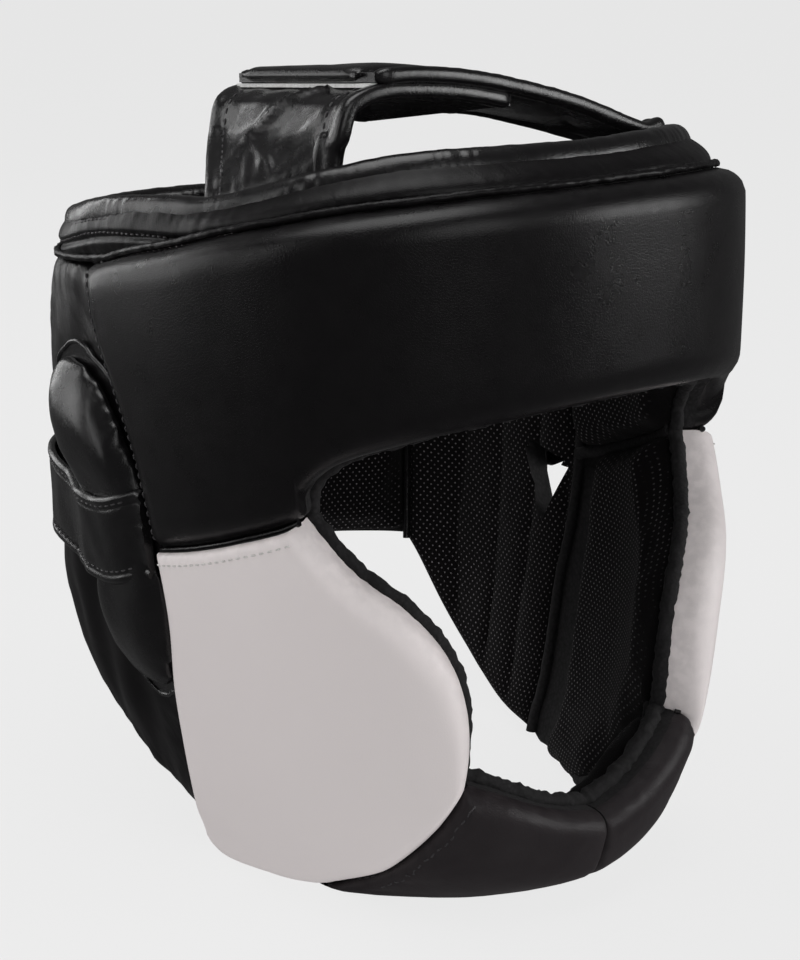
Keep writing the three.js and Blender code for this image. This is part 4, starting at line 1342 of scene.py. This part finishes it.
# Padded flap on the end of the upper wing
FLAP_FROM = -11.0
FLAP_ROWS, FLAP_COLUMNS = 60, 44
grid, normal = wings["left"]
rows = np.flatnonzero(grid[:, 0, 0] < FLAP_FROM)
reach = run_along(grid[rows, 25])
share = np.linspace(0.09, 0.95, FLAP_COLUMNS)
fine = np.interp(np.linspace(0, reach[-1], FLAP_ROWS), reach, rows)


def resampled(values, places, axis):
    """A grid's values at fractional places along one axis."""
    low = np.clip(places.astype(int), 0, values.shape[axis] - 2)
    part = np.expand_dims(places - low, (1, 2) if axis == 0 else (0, 2))
    return np.take(values, low, axis) * (1 - part) + np.take(values, low + 1, axis) * part


surface, face = (
    resampled(resampled(values, fine, 0), share * (grid.shape[1] - 1), 1)
    for values in (grid, normal)
)
surface[..., 0] -= 2.5 * np.linspace(0, 1, FLAP_ROWS)[:, None]
ends, sides = (np.minimum(*arcs(surface, axis)) for axis in (0, 1))
near = np.hypot(np.clip(1 - ends / 5, 0, 1), np.clip(1 - sides / 7, 0, 1))
swell = 1 - quarter(np.minimum(1, near))
swell = (swell * (2.4 + undulation(surface, 14, 0.3)))[..., None]
covers["flap"] = slab(
    "wing_flap_left", surface + face * (swell - 0.1), surface - face * (1.3 + 0.7 * swell),
    soft_leather, sharp=70,
)

# Closure tape under the end of the upper wing
share = np.linspace(0.01, 0.99, 90)
tape_top = np.array([crown_row(row, share, WING_THICKNESS + LAYER_GAP) for row in LAP[:2]])
tape_top[0, :, 0] += noise_at(share * 40, 0, 4) * 0.5 - 1.6
covers["tape"] = slab(
    "closure_strip", tape_top, tape_top - np.array([0, 0, TAPE]), tape_cloth, tape_top[..., :2],
    replaces=["closure_tape"],
)


# Stitches

STITCH_POINTS, STITCH_SIDES = 6, 6


def stitches(name, path, piece, pitch=3.6, length=2.6, radius=0.32, lift=0.1,
             thread=black_thread_painted_glints):
    """A row of stitches along a path in millimetres, laid on a piece's face."""
    mesh = piece.data
    tree = BVHTree.FromPolygons(
        [v.co.copy() for v in mesh.vertices], [p.vertices[:] for p in mesh.polygons],
    )
    path = np.asarray(path, float)
    run = run_along(path)
    last = STITCH_POINTS - 1
    points, faces = [], []
    for place in np.arange(pitch, run[-1] - pitch, pitch):
        rings = []
        for t in np.linspace(-0.5, 0.5, STITCH_POINTS):
            at = place + t * length
            p = np.array([np.interp(at, run, path[:, k]) for k in range(3)])
            found, face, _, _ = tree.find_nearest(Vector(p * MM))
            dip = lift - 1.3 * radius * (2 * abs(t)) ** 3
            rings.append((np.array(found) / MM + np.array(face) * dip, np.array(face)))
        if np.linalg.norm(rings[0][0] - rings[-1][0]) > 2 * length:
            continue
        faces += ring_faces(STITCH_POINTS, STITCH_SIDES, len(points))
        for k, (centre, face) in enumerate(rings):
            ahead = rings[min(k + 1, last)][0] - rings[max(k - 1, 0)][0]
            side = np.cross(ahead, face)
            side /= max(np.linalg.norm(side), 1e-9)
            thick = radius * (0.55 if k in (0, last) else 1)
            for a in angles(STITCH_SIDES):
                points.append(centre + side * math.cos(a) * thick + face * math.sin(a) * thick)
    return make_object(name, points, faces, thread, sharp=80)


def seam_path(pad, side, away, depth=4.0):
    """The line at a distance from one edge of a pad."""
    distance, surface = getattr(pad, side), pad.faces(depth)
    if side in ("start", "end"):
        distance, surface = distance.T, np.swapaxes(surface, 0, 1)
    line = []
    for d, row in zip(distance, surface):
        order = np.argsort(d)
        line.append([np.interp(away, d[order], row[order, k]) for k in range(3)])
    return np.array(line)


# Pitch, length, radius and lift of the stitches
SEAM_STITCH, CHEEK_STITCH, RIM_STITCH = (
    (3.2, 2.2, 0.3, 0.25), (3.4, 2.3, 0.34, 0.16), (3.0, 2.1, 0.36, 0.2),
)
for name, sign in SIDES:
    cheek, side, chin = f"cheek_{name}", f"side_{name}", f"chin_{name}"
    rear = "start" if sign < 0 else "end"
    line = seam_path(pads[cheek], "top", 4.0, -0.5)
    stitches(f"cheek_stitches_{name}", line, covers[cheek], *CHEEK_STITCH, thread=pale_thread)
    line = seam_path(band, rear, 3.4, -0.5)
    stitches(f"band_stitches_{name}", line, covers["band"], *SEAM_STITCH)
    line = seam_path(pads[side], "start", 3.6, -1.0)
    stitches(f"panel_stitches_{name}", line, covers[side], *SEAM_STITCH)
    stitches(f"chin_stitches_{name}", seam_path(pads[chin], rear, 5.0), covers[chin])
    turns = np.arange(94, STRAP_END, 1.0)
    for part, half in (("low", -1), ("high", 1)):
        rise = strap_height(turns, sign) + half * (STRAP_WIDTH / 2 - 4.0)
        depth = panel_face(turns, rise) + SEAT - strap_lift(turns, sign) - STRAP_THICKNESS - 1
        line = skin(turns, rise, depth) * np.array([sign, 1, 1])
        stitches(f"strap_stitches_{part}_{name}", line, covers[f"strap_{name}"])
    grid, normal = wings[name]
    for end, column in (("front", 5), ("rear", -6)):
        line = (grid + normal)[6:, column]
        stitches(f"wing_stitches_{end}_{name}", line, covers[f"wing_{name}"])
turns = np.arange(0, 361, 1.0)
for part, drop, key in (("high", 4.4, "rim"), ("low", 9.9, "collar")):
    line = skin(turns, line_height(RIM_LINE, turns) - drop, rim_depth(turns) - 3)
    stitches(f"rim_stitches_{part}", line, covers[key], *RIM_STITCH)


# Floor and light, in metres and watts

FLOOR_HALF, FLOOR_GLOW, WORLD_GLOW = 14, 0.785, 0.1
BACKDROP_RADIUS, BACKDROP_HEIGHT, BACKDROP_SIDES = 13.5, 12, 64
LIGHTS = {  # place, height aimed at, size, power
    "top": ((-0.25, 0.1, 1.5), 0.15, (1.1, 1.1), 14),
    "left": ((-1.35, 0.45, 0.6), 0.15, (0.16, 0.9), 1.8),
    "rear_left": ((-0.9, 1.05, 0.42), 0.15, (0.45, 0.7), 2.8),
    "behind": ((-0.3, 1.4, 0.42), 0.15, (0.3, 0.8), 3),
    "right": ((1.2, -1.2, 0.5), 0.1, (0.5, 0.8), 11),
    "front": ((-0.5, -1.7, 0.9), 0.12, (1.2, 1.0), 7.5),
}


def make_stage():
    """A pale floor that leather doesn't mirror, and a backdrop that only the camera sees."""
    n = Nodes("floor")
    n.fill(
        n.shader, Base_Color=(0.06, 0.06, 0.06, 1), Roughness=0.9, Specular_IOR_Level=0.0,
        Emission_Color=(1, 1, 1, 1), Emission_Strength=FLOOR_GLOW,
    )
    corners = [(x * FLOOR_HALF, y * FLOOR_HALF, 0) for x, y in ((-1, -1), (1, -1), (1, 1), (-1, 1))]
    ring = [BACKDROP_RADIUS * np.array([math.sin(a), math.cos(a)]) for a in angles(BACKDROP_SIDES)]
    walls = [(x, y, z) for z in (0, BACKDROP_HEIGHT) for x, y in ring]
    k = BACKDROP_SIDES
    quads = [(i, (i + 1) % k, k + (i + 1) % k, k + i) for i in range(k)]
    stage = {}
    for name, points, faces in (("floor", corners, [(0, 1, 2, 3)]), ("backdrop", walls, quads)):
        mesh = bpy.data.meshes.new(name)
        mesh.from_pydata(points, [], faces)
        mesh.materials.append(n.material)
        stage[name] = linked(name, mesh)
    floor, backdrop = stage["floor"], stage["backdrop"]
    floor.visible_glossy = False
    backdrop.visible_diffuse = backdrop.visible_glossy = backdrop.visible_shadow = False


def area_light(name, place, aim, size, power):
    """A rectangular light that looks at a height on the middle of the table."""
    data = bpy.data.lights.new(name, "AREA")
    data.shape = "RECTANGLE"
    data.size, data.size_y = size
    data.energy = power
    light = linked(name, data)
    light.location = place
    light.rotation_mode = "QUATERNION"
    light.rotation_quaternion = (Vector((0, 0, aim)) - Vector(place)).to_track_quat("-Z", "Y")


make_stage()
for name, settings in LIGHTS.items():
    area_light(name, *settings)
world = bpy.data.worlds.new("world")
world.use_nodes = True
world.node_tree.nodes["Background"].inputs[0].default_value = (1, 1, 1, 1)
world.node_tree.nodes["Background"].inputs[1].default_value = WORLD_GLOW
bpy.context.scene.world = world
bpy.context.scene.view_settings.view_transform = "Standard"
